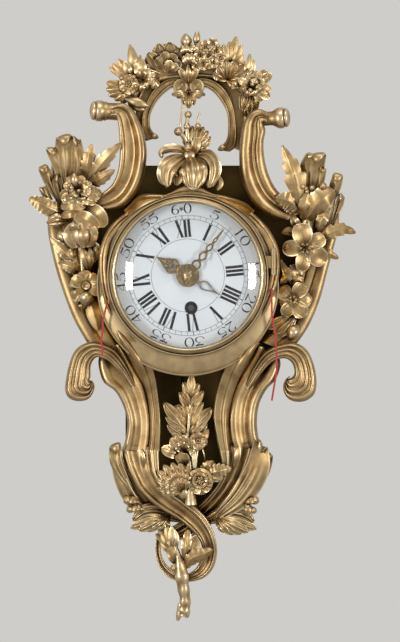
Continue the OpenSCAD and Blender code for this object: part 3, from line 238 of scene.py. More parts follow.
@dataclass(frozen=True)
class GiltBronze(Finish):
    """Fire-gilt cast bronze: a matte warm gold ground, burnished on its ridges with a painted highlight, darkened by
    painted shade in its hollows.
    """

    gold: str = "#B59A6E"
    worn: str = "#977A53"
    # Next, the pale gold that ridges are lightened to: a painted highlight on burnished gilding.
    burnish_highlight: str = "#E0CDA8"
    # Next, the dark brown that hollows are darkened to: painted shade.
    hollow: str = "#3B2410"
    rough: float = 0.40
    reach: float = 8.0  # millimetres over which a hollow darkens
    cloud: float = 11.0  # millimetres across a worn place in the gilding
    grain: float = 0.9  # millimetres; coarser than the real casting's skin, so that it shows
    punch: float = 2.2  # millimetres between the marks of the chaser's punch
    chase: float = 0.0  # depth of chased texture

    def dress(self, tree: Tree, shader: Node, place: Socket) -> None:
        """Painted shade in the hollows, a painted highlight on the burnished ridges, mottled matte gilding between."""
        mottle = add(tree, "TexNoise", {"Scale": per_mm(self.cloud), "Detail": 3.0}, {"Vector": place})
        shade = add(tree, "AmbientOcclusion", {"Distance": self.reach * MM, "samples": 6})
        shape = add(tree, "NewGeometry")
        opened = add(tree, "MapRange", {**SMOOTH, "From Min": 0.12, "From Max": 0.8},
                     {"Value": shade.outputs["AO"]})
        ridge = add(tree, "MapRange", {**SMOOTH, "From Min": 0.505, "From Max": 0.56},
                    {"Value": shape.outputs["Pointiness"]})
        cloud = add(tree, "MapRange", {**SMOOTH, "From Min": 0.36, "From Max": 0.68}, {"Value": mottle})
        burnish_and_highlight = add(tree, "Math", {"operation": "MULTIPLY"}, {0: ridge, 1: opened})
        ground = add(tree, "Mix", {**COLOUR, 6: linear(self.gold), 7: linear(self.worn)}, {0: cloud})
        # Painted shade: the ambient occlusion darkens the gold to dark brown in the hollows.
        hollow_shade_mix = add(tree, "Mix", {**COLOUR, 6: linear(self.hollow)}, {0: opened, 7: ground.outputs[2]})
        # Painted highlight: the open ridges are lightened to pale gold, where they are also made smoother.
        bright = add(tree, "Mix", {**COLOUR, 7: linear(self.burnish_highlight)}, {0: burnish_and_highlight, 6: hollow_shade_mix.outputs[2]})
        matte = add(tree, "MapRange", {"To Min": self.rough + 0.08, "To Max": self.rough - 0.06},
                    {"Value": mottle})
        polish = add(tree, "Math", {"operation": "MULTIPLY_ADD", 1: -0.1}, {0: burnish_and_highlight, 2: matte})
        if self.chase:
            relief = add(tree, "TexVoronoi", {"Scale": per_mm(self.punch)}, {"Vector": place})
        else:
            relief = add(tree, "TexNoise", {"Scale": per_mm(self.grain), "Detail": 2.0}, {"Vector": place})
        bump = add(tree, "Bump", {"Strength": 0.8, "Distance": (self.chase or 0.04) * MM}, {"Height": relief})
        fit(tree, shader, {"Metallic": 1.0},
            {"Base Color": bright.outputs[2], "Roughness": polish, "Normal": bump})


@dataclass(frozen=True)
class LacqueredSheet(Finish):
    """Brass sheet under dark lacquer: olive brown, half bright, softly clouded."""

    dark: str = "#352A18"
    light: str = "#574829"
    cloud: float = 38.0  # millimetres across a cloud in the lacquer

    def dress(self, tree: Tree, shader: Node, place: Socket) -> None:
        """Soft clouding of the lacquer, and a faint unevenness of its gloss."""
        cloud = add(tree, "TexNoise", {"Scale": per_mm(self.cloud), "Detail": 2.0}, {"Vector": place})
        tone = add(tree, "MapRange", {**SMOOTH, "From Min": 0.3, "From Max": 0.7}, {"Value": cloud})
        base = add(tree, "Mix", {**COLOUR, 6: linear(self.dark), 7: linear(self.light)}, {0: tone})
        gloss = add(tree, "MapRange", {"To Min": 0.38, "To Max": 0.5}, {"Value": cloud})
        fit(tree, shader, {"Metallic": 1.0}, {"Base Color": base.outputs[2], "Roughness": gloss})


@dataclass(frozen=True)
class FiredEnamel(Finish):
    """Fired enamel on copper: cold white or black glaze, glossy, faintly uneven."""

    pale: str = "#EBEEF1"
    deep: str = "#DDE2E7"
    gloss: float = 0.5
    cloud: float = 25.0  # millimetres across a slow change of tone
    peel: float = 3.0  # millimetres between the ripples of the glaze

    def dress(self, tree: Tree, shader: Node, place: Socket) -> None:
        """Slow change of tone and an orange-peel ripple of the glaze."""
        tone = add(tree, "TexNoise", {"Scale": per_mm(self.cloud), "Detail": 3.0}, {"Vector": place})
        base = add(tree, "Mix", {**COLOUR, 6: linear(self.pale), 7: linear(self.deep)}, {0: tone})
        peel = add(tree, "TexNoise", {"Scale": per_mm(self.peel)}, {"Vector": place})
        bump = add(tree, "Bump", {"Strength": 0.15, "Distance": 0.05 * MM}, {"Height": peel})
        fit(tree, shader, {"Roughness": 0.16, "Specular IOR Level": self.gloss},
            {"Base Color": base.outputs[2], "Normal": bump})


@dataclass(frozen=True)
class ClearGlass(Finish):
    """Blown domed glass: clear, with a bright skin of reflection; shadows pass through it."""

    clear: str = "#FBFDFC"
    wave: float = 40.0  # millimetres between the waves of the blown surface

    def dress(self, tree: Tree, shader: Node, place: Socket) -> None:
        """Clear body, faint waviness, and light let through to what lies behind."""
        wave = add(tree, "TexNoise", {"Scale": per_mm(self.wave)}, {"Vector": place})
        bump = add(tree, "Bump", {"Strength": 0.03, "Distance": 0.3 * MM}, {"Height": wave})
        fit(tree, shader, {"Base Color": linear(self.clear), "Roughness": 0.015, "IOR": 1.5,
                           "Transmission Weight": 1.0}, {"Normal": bump})
        path = add(tree, "LightPath").outputs
        through = add(tree, "Math", {"operation": "MAXIMUM"},
                      {0: path["Is Shadow Ray"], 1: path["Is Diffuse Ray"]})
        open_way = add(tree, "BsdfTransparent")
        mix = add(tree, "MixShader", None, {0: through, 1: shader, 2: open_way})
        fit(tree, tree.nodes["Material Output"], {}, {"Surface": mix})


@dataclass(frozen=True)
class GrainedMetal(Finish):
    """Machined movement metal, grained along one way, with tarnish between."""

    bright: str = "#D9B565"
    tarnish: str = "#8F6C2C"
    rough: float = 0.28
    grain: float = 0.8  # millimetres between scratches; coarser than real graining, so that it shows
    cloud: float = 14.0  # millimetres across a cloud of tarnish

    def dress(self, tree: Tree, shader: Node, place: Socket) -> None:
        """Straight graining and clouds of tarnish."""
        along = add(tree, "Mapping", {"Scale": (0.06, 1.0, 1.0)}, {"Vector": place})
        grain = add(tree, "TexNoise", {"Scale": per_mm(self.grain), "Detail": 3.0}, {"Vector": along})
        cloud = add(tree, "TexNoise", {"Scale": per_mm(self.cloud), "Detail": 3.0}, {"Vector": place})
        tone = add(tree, "MapRange", {**SMOOTH, "From Min": 0.45, "From Max": 0.75}, {"Value": cloud})
        base = add(tree, "Mix", {**COLOUR, 6: linear(self.bright), 7: linear(self.tarnish)}, {0: tone})
        spread = add(tree, "MapRange", {"To Min": self.rough - 0.08, "To Max": self.rough + 0.12},
                     {"Value": grain})
        bump = add(tree, "Bump", {"Strength": 0.25, "Distance": 0.02 * MM}, {"Height": grain})
        fit(tree, shader, {"Metallic": 1.0},
            {"Base Color": base.outputs[2], "Roughness": spread, "Normal": bump})


@dataclass(frozen=True)
class BraidedSilk(Finish):
    """Braided silk cord: red, soft sheen along slanting strands."""

    deep: str = "#9C1418"
    fresh: str = "#CF3A3E"
    thread: float = 0.7  # millimetres; coarser than a real thread, so that it shows

    def dress(self, tree: Tree, shader: Node, place: Socket) -> None:
        """Strand-to-strand change of red and a soft sheen; the strands are in the mesh."""
        thread = add(tree, "TexNoise", {"Scale": per_mm(self.thread), "Detail": 2.0}, {"Vector": place})
        base = add(tree, "Mix", {**COLOUR, 6: linear(self.deep), 7: linear(self.fresh)}, {0: thread})
        fit(tree, shader, {"Roughness": 0.6, "Sheen Weight": 0.3}, {"Base Color": base.outputs[2]})


@dataclass(frozen=True)
class StudioPaper(Finish):
    """Seamless studio paper: pale, even, dull."""

    tone: str = "#D8D6D2"
    light: str = "#DEDCD8"
    tooth: float = 4.0  # millimetres; coarser than real paper's tooth, so that it shows

    def dress(self, tree: Tree, shader: Node, place: Socket) -> None:
        """Even tone with a faint paper tooth."""
        tooth = add(tree, "TexNoise", {"Scale": per_mm(self.tooth)}, {"Vector": place})
        base = add(tree, "Mix", {**COLOUR, 6: linear(self.tone), 7: linear(self.light)}, {0: tooth})
        fit(tree, shader, {"Roughness": 0.9}, {"Base Color": base.outputs[2]})


GILT = GiltBronze("fire_gilt_cast_bronze")
# A darker, rougher copy of the gilt for the hinge's knuckles: painted shade, so that they don't catch the lamps.
GILT_SHADED = GiltBronze(
    "fire_gilt_shaded_bronze", gold="#8A7550", worn="#6C5738", burnish_highlight="#A48F68", rough=0.6)
GILT_TURNED = GiltBronze("fire_gilt_turned_bronze", rough=0.32, reach=5.0)
GILT_CHASED = GiltBronze(
    "fire_gilt_chased_bronze", gold="#664F30", worn="#46361F", burnish_highlight="#A0865A", rough=0.4, reach=2.0,
    chase=0.7)
SHEET = LacqueredSheet("lacquered_brass_sheet")
ENAMEL = FiredEnamel("fired_white_enamel")
BLACK = FiredEnamel("fired_black_enamel", pale="#0A0A0C", deep="#121215", gloss=0.1)
GLASS = ClearGlass("blown_clear_glass")
BRASS = GrainedMetal("grained_brass")
STEEL = GrainedMetal("grained_steel", bright="#9AA0A6", tarnish="#5E6368", rough=0.3)
POLISHED = GrainedMetal("polished_steel_hand", bright="#8C8478", tarnish="#4A453D", rough=0.32)
BLUED = GrainedMetal("blued_steel", bright="#17181B", tarnish="#0D0D0F", rough=0.45)
# Dark steel for the winding arbor, darker still as painted shade for its place deep in the winding hole.
SHADED_STEEL = GrainedMetal("shaded_dark_steel", bright="#5E6064", tarnish="#333538", rough=0.35)
BELL = GrainedMetal("turned_bell_metal", bright="#D8CFA9", tarnish="#A3966C", rough=0.25)
SILK = BraidedSilk("braided_red_silk")
PAPER = StudioPaper("seamless_studio_paper")


# Casting: one mesh built up from mouldings, leaves, flowers and turned pieces.

CREASE = 48.0  # degrees; an edge bent more than this stays crisp
USUAL_BACK = 2.0  # back level of a limb that lies on the back plate, in millimetres from the wall


class Section(Enum):
    """Section of a moulded limb: place across it from 0 to 1, and height there from 0 to 1."""

    SCROLL = ((0, .3), (.04, .62), (.14, .66), (.2, .46), (.26, .36), (.45, .24), (.58, .34), (.66, .76),
              (.78, 1), (.9, .96), (.97, .7), (1, .3))
    DOUBLE = ((0, .3), (.05, .7), (.14, .93), (.26, 1), (.38, .9), (.46, .68), (.51, .5), (.56, .42),
              (.62, .46), (.66, .62), (.74, .76), (.86, .72), (.95, .55), (1, .25))
    LEG = ((0, .3), (.04, .64), (.11, .76), (.18, .66), (.26, .46), (.4, .38), (.5, .52), (.58, .66),
           (.64, .7), (.7, .55), (.74, .45), (.95, .45), (1, .3))
    LEG_RIGHT = ((0, .3), (.05, .45), (.3, .45), (.34, .5), (.38, .64), (.46, .72), (.52, .62), (.6, .42),
                 (.68, .36), (.73, .5), (.78, .8), (.86, 1), (.94, .9), (1, .35))
    RIDGE = ((0, .25), (.07, .6), (.18, .9), (.3, 1), (.42, .9), (.5, .66), (.56, .52), (.7, .52),
             (.9, .56), (.96, .45), (1, .2))
    STRAP = (
        (0, .1), (.04, .39), (.11, .51), (.18, .41), (.26, .21), (.4, .13), (.5, .27), (.58, .41),
        (.64, .45), (.69, .5), (.72, .75), (.77, .95), (.81, 1), (.85, .92), (.88, .8), (.97, .76), (1, .5))
    STRAP_RIGHT = (
        (0, .1), (.06, .65), (.14, .75), (.22, .55), (.27, .25), (.32, .11), (.4, .17), (.48, .37),
        (.54, .47), (.62, .39), (.7, .28), (.74, .6), (.78, .92), (.81, 1), (.84, .94), (.87, .75),
        (.95, .75), (1, .5))
    RAIL = ((0, .2), (.06, .6), (.2, .78), (.36, .76), (.5, .62), (.56, .46), (.62, .48), (.8, .52),
            (.9, .46), (1, .2))
    REEDS = ((0, .25), (.06, .7), (.14, .92), (.22, .84), (.28, .6), (.34, .66), (.42, .84), (.5, .76),
             (.55, .54), (.62, .6), (.7, .74), (.78, .66), (.83, .46), (.91, .5), (1, .25))
    HOOP = ((0, .3), (.06, .85), (.16, 1), (.26, .9), (.32, .62), (.5, .54), (.68, .58), (.74, .85),
            (.84, .95), (.94, .8), (1, .3))
    FLAT = ((0, .1), (.05, .7), (.12, 1), (.2, .8), (.3, .72), (.7, .72), (.8, .8), (.88, 1), (.95, .7),
            (1, .1))
    SHOULDER = ((0, .6), (.3, .58), (.55, .7), (.75, .95), (.86, 1), (.95, .85), (1, .5))
    BORDER = ((0, .2), (.1, .75), (.22, 1), (.34, .9), (.42, .66), (.5, .6), (.66, .74), (.85, .74),
              (.94, .55), (1, .2))


class Casting:
    """Vertices and faces of one piece, in millimetres on the elevation, gathered before it is made."""

    def __init__(self) -> None:
        """An empty casting."""
        self.verts: list[np.ndarray] = []
        self.faces: list[tuple[int, ...]] = []
        self.count = 0

    def lay(self, points: np.ndarray, faces: Sequence[Sequence[int]]) -> None:
        """Add points and the faces between them.

        Args:
            points: rows of x, y, z in millimetres.
            faces: corner numbers of each face, counted from the first of these points.
        """
        self.verts.append(np.asarray(points, dtype=float))
        self.faces.extend(tuple(i + self.count for i in f) for f in faces)
        self.count += len(points)

    def grid(self, rings: np.ndarray, caps: bool = True) -> None:
        """Skin a stack of closed rings.

        Args:
            rings: an array of rings, each the same number of points.
            caps: whether the first and last ring are filled.
        """
        n, m = rings.shape[:2]
        faces = [(i * m + j, i * m + (j + 1) % m, (i + 1) * m + (j + 1) % m, (i + 1) * m + j)
                 for i in range(n - 1) for j in range(m)]
        points = rings.reshape(-1, 3)
        if caps:
            points = np.vstack([points, rings[0].mean(axis=0), rings[-1].mean(axis=0)])
            faces += [(n * m, (j + 1) % m, j) for j in range(m)]
            faces += [(n * m + 1, (n - 1) * m + j, (n - 1) * m + (j + 1) % m) for j in range(m)]
        self.lay(points, faces)

    def moulding(self, rows: Rows, section: Section, relief: float = 7.0, swell: float = 0.0) -> None:
        """A moulded limb between two edges.

        Args:
            rows: u, v of one edge, u, v of the other, front level, and back level if not the usual one.
            section: the limb's section.
            relief: greatest height of the section.
            swell: how much the whole section is crowned.
        """
        steps, across, lip = 7, 46, 0.5
        t = np.linspace(0, 1, across)
        fine = smooth_rows(section.value, 6)
        height = np.interp(t, fine[:, 0], fine[:, 1]).clip(0, 1.05)
        rings = []
        full = [(*row, USUAL_BACK)[:6] for row in rows]
        for u1, v1, u2, v2, front, back in smooth_rows(full, steps):
            a, b = spot(u1, v1, 0), spot(u2, v2, 0)
            deep = min(relief, 0.38 * np.linalg.norm(b - a))
            top = a + (b - a) * t[:, None]
            top[:, 2] = front - deep * (1 - height) + swell * (1 - (2 * t - 1) ** 2)
            first, last = top[0, 2] - lip, top[-1, 2] - lip
            sides = [b + [0, 0, last], b + [0, 0, back], a + [0, 0, back], a + [0, 0, first]]
            rings.append(np.vstack([top, sides]))
        self.grid(np.array(rings))

    def leaf(self, spine: Rows, width: float, lobes: int = 1, cut: float = 0.0, camber: float = 0.2,
             vein: float = 0.45, rib: float = 0.5, thick: float = 1.3, belly: float = 0.85,
             tip: float = 0.65, flutes: int = 0, fade: float = 1.2, ruffle: float = 0.0,
             waves: float = 3.0) -> None:
        """A leaf or petal, as a thick shell along a spine.

        Args:
            spine: u, v, z places from base to tip.
            width: greatest width, in drawing units.
            lobes: teeth on each side, where the margin is cut.
            cut: how deep the margin is cut, as a share of the half width; 0 leaves it plain.
            camber: how far the sides fall from the middle, as a share of the half width; below 0 they rise.
            vein: depth of the grooves between teeth or flutes.
            rib: height of the midrib.
            thick: thickness.
            belly: below 1 the leaf is widest near its base, above 1 near its tip.
            tip: below 1 the tip is blunt, above 1 it is pointed.
            flutes: lengthwise flutes instead of slanting veins.
            fade: share of the length at which the flutes have died out and the camber turns over.
            ruffle: how far the margin waves.
            waves: how many waves the margin has.
        """
        path = smooth_rows([spot(*p) for p in spine], max(7, 8 * lobes // max(1, len(spine) - 1) + 3))
        across = 25 if flutes else 17 if width > 9 else 11
        run = run_along(path)
        s = run / run[-1]
        tangent = np.gradient(path, axis=0)
        tangent /= np.linalg.norm(tangent, axis=1)[:, None]
        normal = np.array([0, 0, 1.0])
        crest = 0.8  # share of a tooth's length at which it is widest
        v = np.linspace(-1, 1, across)
        bend = np.abs(v)
        rows = []
        for i, place in enumerate(path):
            normal = unit(normal - tangent[i] * normal.dot(tangent[i]))
            side = np.cross(tangent[i], normal)
            body = max(0.0, math.sin(math.pi * min(1.0, s[i]) ** belly)) ** tip
            phase = (s[i] * lobes) % 1.0
            tooth, lean = 1.0, 0.0
            if cut:
                fall = cut * (phase - crest) / (1 - crest)
                tooth = 1 - fall if phase > crest else 1 - cut + cut * phase / crest
                lean = 0.45
            ahead = lean * body * run[-1] / lobes * (tooth - (1 - cut)) * bend ** 2
            half = max(0.02, body * tooth) * width * DRAWING_UNIT / 2
            hold = min(1.0, max(-1.0, 5 * (fade - s[i])))
            lift = -camber * hold * half * bend ** 1.8 + rib * np.exp(-(v / 0.12) ** 2) * (1 - 0.7 * s[i])
            if flutes:
                strength = 0.5 * vein * min(1.0, half / 2) * max(0.0, hold)
                lift = lift + strength * (np.cos(math.pi * flutes * v) - 1)
            elif cut:
                lift = lift - vein * (0.5 + 0.5 * math.cos(2 * math.pi * phase)) * bend * min(1.0, half / 3)
            lift = lift + ruffle * bend ** 2 * math.sin(2 * math.pi * waves * s[i]) * min(1.0, half / 3)
            rows.append(
                place + np.outer(v * half, side) + np.outer(lift, normal) + np.outer(ahead, tangent[i]))
        front = np.array(rows)
        face = np.cross(np.gradient(front, axis=1), np.gradient(front, axis=0))
        face /= np.maximum(np.linalg.norm(face, axis=2), 1e-9)[..., None]
        if face[len(face) // 3].mean(axis=0)[2] < 0:
            face = -face
        round_edge = np.sqrt(np.clip(1 - bend ** 6, 0, 1))[None, :, None]
        back = front - face * thick * (0.35 + 0.65 * round_edge)
        self.grid(np.concatenate([front, back[:, ::-1]], axis=1))

    def petal(self, centre: Row, angle: float, length: float, width: float, cup: float = 2.0,
              droop: float = 0.0, **form: float) -> None:
        """A spoon-shaped petal from a flower's centre.

        Args:
            centre: u, v, z of the flower.
            angle: direction on the drawing, in degrees, anticlockwise from the right.
            length: length, in drawing units.
            width: greatest width, in drawing units.
            cup: how far its middle stands out.
            droop: how far its tip falls back.
            form: settings passed on to leaf().
        """
        u, v, z = centre
        c, s = math.cos(math.radians(angle)), math.sin(math.radians(angle))
        spine = []
        for k in (0.08, 0.4, 0.72, 1.0):
            out = cup * math.sin(math.pi * k * 0.8) - droop * k ** 2
            spine.append((u + c * length * k, v - s * length * k, z + out))
        settings = {"camber": -0.2, "rib": -0.3, "thick": 1.4, "belly": 1.5, "tip": 0.45}
        self.leaf(spine, width, **{**settings, **form})

    def blossom(self, centre: Row, radius: float, petals: int = 5, start: float = 90.0, cup: float = 2.0,
                droop: float = 0.0, width: float = 1.1, beads: int = 5, **form: float) -> None:
        """An open flower: petals round a beaded eye.

        Args:
            centre: u, v, z of the flower.
            radius: its radius, in drawing units.
            petals: how many petals it has.
            start: direction of the first, in degrees.
            cup: how far the petals' middles stand out.
            droop: how far their tips fall back.
            width: petal width, as a share of the room between petals.
            beads: stamens round the eye.
            form: settings passed on to leaf().
        """
        u, v, z = centre
        for i in range(petals):
            self.petal((u, v, z + 0.35 * (i % 2)), start + i * 360 / petals, radius,
                       2 * radius * math.sin(math.pi / petals) * width, cup, droop, **form)
        eye = 0.2 * radius
        for turn in round_turn(beads):
            self.bead((u + eye * math.cos(turn), v + eye * math.sin(turn), z + cup), radius * 0.12)

    def fan(self, base: Row, tips: Rows, width: float, bow: float = 3.0, **form: float) -> None:
        """Leaves that spread from one base to several tips.

        Args:
            base: u, v, z they spring from.
            tips: u, v, z of each end.
            width: width of each, in drawing units.
            bow: how far their middles stand out.
            form: settings passed on to leaf().
        """
        settings = {"camber": 0.3, "rib": 0.45, "belly": 1.4, "tip": 0.5}
        for i, end in enumerate(tips):
            middle = 0.5 * (np.asarray(base) + np.asarray(end)) + [0, 0, bow + 0.5 * (i % 2)]
            self.leaf([base, middle, end], width, **{**settings, **form})

    def tongue(self, spine: Rows, width: float, curl: float, flutes: int) -> None:
        """A fluted acanthus lobe whose end rolls forward.

        Args:
            spine: u, v, z places from base to the start of the roll.
            width: greatest width, in drawing units.
            curl: radius of the roll.
            flutes: flutes along it.
        """
        end = np.asarray(spine[-1], dtype=float)
        way = unit((end - np.asarray(spine[-2], dtype=float))[:2])
        r = curl / DRAWING_UNIT
        over = [end + [k * r * way[0], k * r * way[1], h * curl]
                for k, h in ((0.4, 0.3), (0.6, 1.1), (0.2, 1.9), (-0.8, 2.1), (-1.7, 1.6))]
        self.leaf([*spine, *over], width, camber=0.3, vein=0.8, rib=0.0, thick=1.6, belly=1.35, tip=0.62,
                  flutes=flutes, fade=0.74)

    def drop(self, base: Row, tip: Row, radius: float, ridges: int = 0, sharp: float = 1.0) -> None:
        """A bud: a round body from base to tip, with ridges of closed petals.

        Args:
            base: u, v, z where it starts.
            tip: u, v, z where it ends.
            radius: greatest radius, in drawing units.
            ridges: how many closed petals show round it.
            sharp: above 1 the tip is drawn out.
        """
        a, b = spot(*base), spot(*tip)
        along = unit(b - a)
        x = unit(np.cross(along, [0.31, 0.2, 0.93]))
        y = np.cross(along, x)
        turn = round_turn(24)
        rings = []
        for k in np.linspace(0.01, 0.99, 15):
            r = radius * DRAWING_UNIT * math.sin(math.pi * k ** (1 / sharp)) ** 0.75
            swell = 0.1 * np.abs(np.sin(ridges * (turn + 1.2 * k) / 2)) - 0.05 if ridges else 0 * turn
            rings.append(hoop(a + along * np.linalg.norm(b - a) * k, x, y, r * (1 + swell), turn))
        self.grid(np.array(rings))

    def bead(self, centre: Row, radius: float) -> None:
        """A small ball, its radius in drawing units."""
        u, v, z = centre
        self.drop((u, v, z - radius * DRAWING_UNIT), (u, v, z + radius * DRAWING_UNIT), radius)

    def stalk(self, places: Rows, radii: Sequence[float], knots: float = 0.0, sides: int = 14) -> None:
        """A stem along places.

        Args:
            places: u, v, z places along it.
            radii: its radius at each, in drawing units.
            knots: how knotty its surface is, as a share of the radius.
            sides: points round it.
        """
        rows = smooth_rows([(*spot(*p), r * DRAWING_UNIT) for p, r in zip(places, radii)], 6)
        path = rows[:, :3]
        tangent = np.gradient(path, axis=0)
        turn = round_turn(sides)
        rings = []
        x = unit(np.cross(tangent[0], [0.21, 0.1, 0.97]))
        for i, p in enumerate(path):
            along = unit(tangent[i])
            x = unit(x - along * x.dot(along))
            r = rows[i, 3] * (1 + knots * (np.sin(3 * turn + 0.4 * i) * 0.5 + 0.5 * math.sin(1.1 * i)))
            rings.append(hoop(p, x, np.cross(along, x), r, turn))
        self.grid(np.array(rings))

    def turned(self, centre: Row, axis: Row, profile: Rows, sides: int = 40, ring: bool = False) -> None:
        """A turned piece.

        Args:
            centre: u, v, z of the profile's zero.
            axis: direction, as x right, y up, z out.
            profile: radius and distance along the axis, both in millimetres.
            sides: points round it.
            ring: whether the profile closes on itself, as a ring's does.
        """
        c, along = spot(*centre), unit(np.asarray(axis, dtype=float))
        x = unit(np.cross(along, [0.0, 1.0, 0.05] if abs(along[1]) < 0.9 else [1.0, 0.0, 0.0]))
        y = np.cross(along, x)
        turn = round_turn(sides)
        loop = [*profile, profile[0]] if ring else profile
        self.grid(np.array([hoop(c + along * d, x, y, r, turn) for r, d in loop]), caps=not ring)

    def stand(self, name: str) -> Piece:
        """The gathered shape as an object of the scene, not yet dressed.

        Args:
            name: the object's name.
        Returns:
            The object.
        """
        mesh = bpy.data.meshes.new(name)
        mesh.from_pydata([part_point(*p) for p in np.vstack(self.verts)], [], self.faces)
        return put(name, mesh)

    def make(self, name: str, finish: Finish, body: str, nodes: Sequence[str] = (), slot: str = "gilt_bronze",
             sharp: float = CREASE) -> Piece:
        """Make the piece and hang it on its body.

        Args:
            name: the piece's name.
            finish: its finish.
            body: the body it rides on.
            nodes: the solids that it stands for.
            slot: not used.
            sharp: edges bent more than this, in degrees, stay crisp.
        Returns:
            The piece.
        """
        piece = self.stand(name)
        piece.data.validate()
        skin = bmesh.new()
        skin.from_mesh(piece.data)
        bmesh.ops.recalc_face_normals(skin, faces=skin.faces)
        skin.to_mesh(piece.data)
        skin.free()
        return dress(piece, finish, body, nodes, sharp)

    def cast(self, node: str) -> None:
        """Make the gilt casting that stands for one solid of the case."""
        self.make(f"{node}_casting", GILT, "case", [node])


def dress(piece: Piece, finish: Finish, body: str, nodes: Sequence[str],
          sharp: float = CREASE) -> Piece:
    """Shade a piece, give it its finish, ride it on its body and hide the solids it stands for.

    Args:
        piece: the piece.
        finish: its finish.
        body: the body it rides on.
        nodes: the solids that it stands for.
        sharp: edges bent more than this, in degrees, stay crisp.
    Returns:
        The piece.
    """
    piece.data.shade_smooth()
    piece.data.set_sharp_from_angle(angle=math.radians(sharp))
    piece.data.materials.clear()
    piece.data.materials.append(finish.material())
    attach(piece, body)
    if nodes:
        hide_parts(*nodes)
    LOG.info("made %s: %d faces", piece.name, len(piece.data.polygons))
    return piece


# Studio and cords.


@dataclass
class Studio:
    """Camera, lamps, pale surroundings and floor."""

    distance: float = 6.0  # the camera's and the lamps' places and sizes are in metres
    frame_height: float = 0.535
    centre_x: float = 0.010
    centre_z: float = -0.2155
    film: float = 36.0  # millimetres
    paper: str = "#CFCDC9"
    fill: str = "#C9CCD2"
    aim: Row = (0, -0.08, -0.18)
    lamps: Sequence[tuple[str, Row, Row, float]] = (  # name, place and size in metres, watts
        ("left_softbox", (-1.10, -1.34, -0.18), (0.13, 0.52), 10.0),
        ("right_softbox", (1.20, -1.25, -0.18), (0.19, 0.48), 8.5),
        ("top_softbox", (0.1, -0.9, 1.3), (1.2, 0.6), 8.0))

    def camera(self) -> None:
        """A long lens, square to the dial, framed as the elevation is."""
        data = bpy.data.cameras.new("camera")
        data.lens = self.film * self.distance / self.frame_height
        data.clip_end = 50.0
        eye = put("camera", data)
        eye.location = (self.centre_x, -self.distance, self.centre_z)
        eye.rotation_euler = (math.pi / 2, 0.0, 0.0)
        bpy.context.scene.camera = eye

    def lamp(self, name: str, place: Row, size: Row, power: float) -> None:
        """A soft box, aimed at the dial.

        Args:
            name: its name.
            place: where it stands, in metres.
            size: its width and height, in metres.
            power: its power, in watts.
        """
        data = bpy.data.lights.new(name, "AREA")
        data.shape = "RECTANGLE"
        data.size, data.size_y = size
        data.energy = power
        lamp = put(name, data)
        lamp.location = place
        lamp.rotation_euler = (Vector(self.aim) - Vector(place)).to_track_quat("-Z", "Y").to_euler()

    def light(self) -> None:
        """Two upright soft boxes beside the clock, one overhead, and pale surroundings."""
        for lamp in self.lamps:
            self.lamp(*lamp)
        world = bpy.data.worlds.new("studio")
        bpy.context.scene.world = world
        world.use_nodes = True
        tree = world.node_tree
        path = add(tree, "LightPath").outputs
        seen = add(tree, "Math", {"operation": "MAXIMUM"},
                   {0: path["Is Camera Ray"], 1: path["Is Glossy Ray"]})
        seen = add(tree, "Math", {"operation": "MAXIMUM"}, {0: seen, 1: path["Is Transmission Ray"]})
        fill = add(tree, "Background", {"Color": linear(self.fill), "Strength": 0.55})
        paper = add(tree, "Background", {"Color": linear(self.paper), "Strength": 1.0})
        mix = add(tree, "MixShader", None, {0: seen, 1: fill, 2: paper})
        fit(tree, tree.nodes["World Output"], {}, {"Surface": mix})

    def floor(self) -> None:
        """A round pale floor well under the hanging clock."""
        casting = Casting()
        casting.turned(
            (DIAL_U, DIAL_V, 60), (0, 1, 0), [(1400, -470), (1395, -468), (700, -468), (1, -468)], 96)
        ground = casting.stand("floor")
        ground.data.materials.append(PAPER.material())


@dataclass
class PullCords:
    """The repeat cord on the right and the alarm cord on the left, each out of its eyelet."""

    radius: float = 0.8
    strands: int = 6
    lay: float = 3.2  # millimetres of cord to one turn of a strand
    braid: float = 0.07  # depth of the furrows between strands, as a share of the radius
    repeat_route: Rows = (
        *((69, -12, z) for z in range(42, 75, 4)), (69, -13, 76), (69, -15, 78), (69, -19, 79),
        (69, -25, 79), (69, -31, 79), (70, -37, 79), (71, -43, 79), (72, -49, 79), (72, -55, 79),
        (73, -61, 79), (73, -67, 79), (73, -73, 79), (73, -79, 79), (72, -85, 79), (71, -91, 79),
        (70, -97, 79), (69, -103, 79))
    alarm_route: Rows = (
        *((-67, -22, z) for z in range(42, 75, 4)), (-67, -23, 76), (-67, -25, 78), (-68, -29, 79),
        (-69, -34, 79), (-70, -39, 79), (-70, -45, 79), (-71, -51, 79), (-71, -57, 79), (-70, -62, 79),
        (-71, -66, 79))

    def build(self) -> None:
        """Both cords, as braided tubes along their routes."""
        for name, route in (("repeat", self.repeat_route), ("alarm", self.alarm_route)):
            path = smooth_rows(route, 6)
            run = run_along(path)
            tangent = np.gradient(path, axis=0)
            turn = round_turn(24)
            rings = []
            for i, p in enumerate(path):
                along = unit(tangent[i])
                x = unit(np.cross(along, [1.0, 0.0, 0.0]))
                twist = 2 * math.pi * run[i] / self.lay
                strand = self.strands / 2 * turn
                braid = np.maximum(np.cos(strand + twist), np.cos(strand - twist))
                r = self.radius * (1 - self.braid + self.braid * braid)
                rings.append(hoop(p, x, np.cross(along, x), r, turn))
            casting = Casting()
            casting.grid(np.array(rings))
            cord = casting.make(
                f"{name}_pull_cord", SILK, f"{name}_pull", [f"{name}_cord"], "silk_cord", 80.0)


# The case.


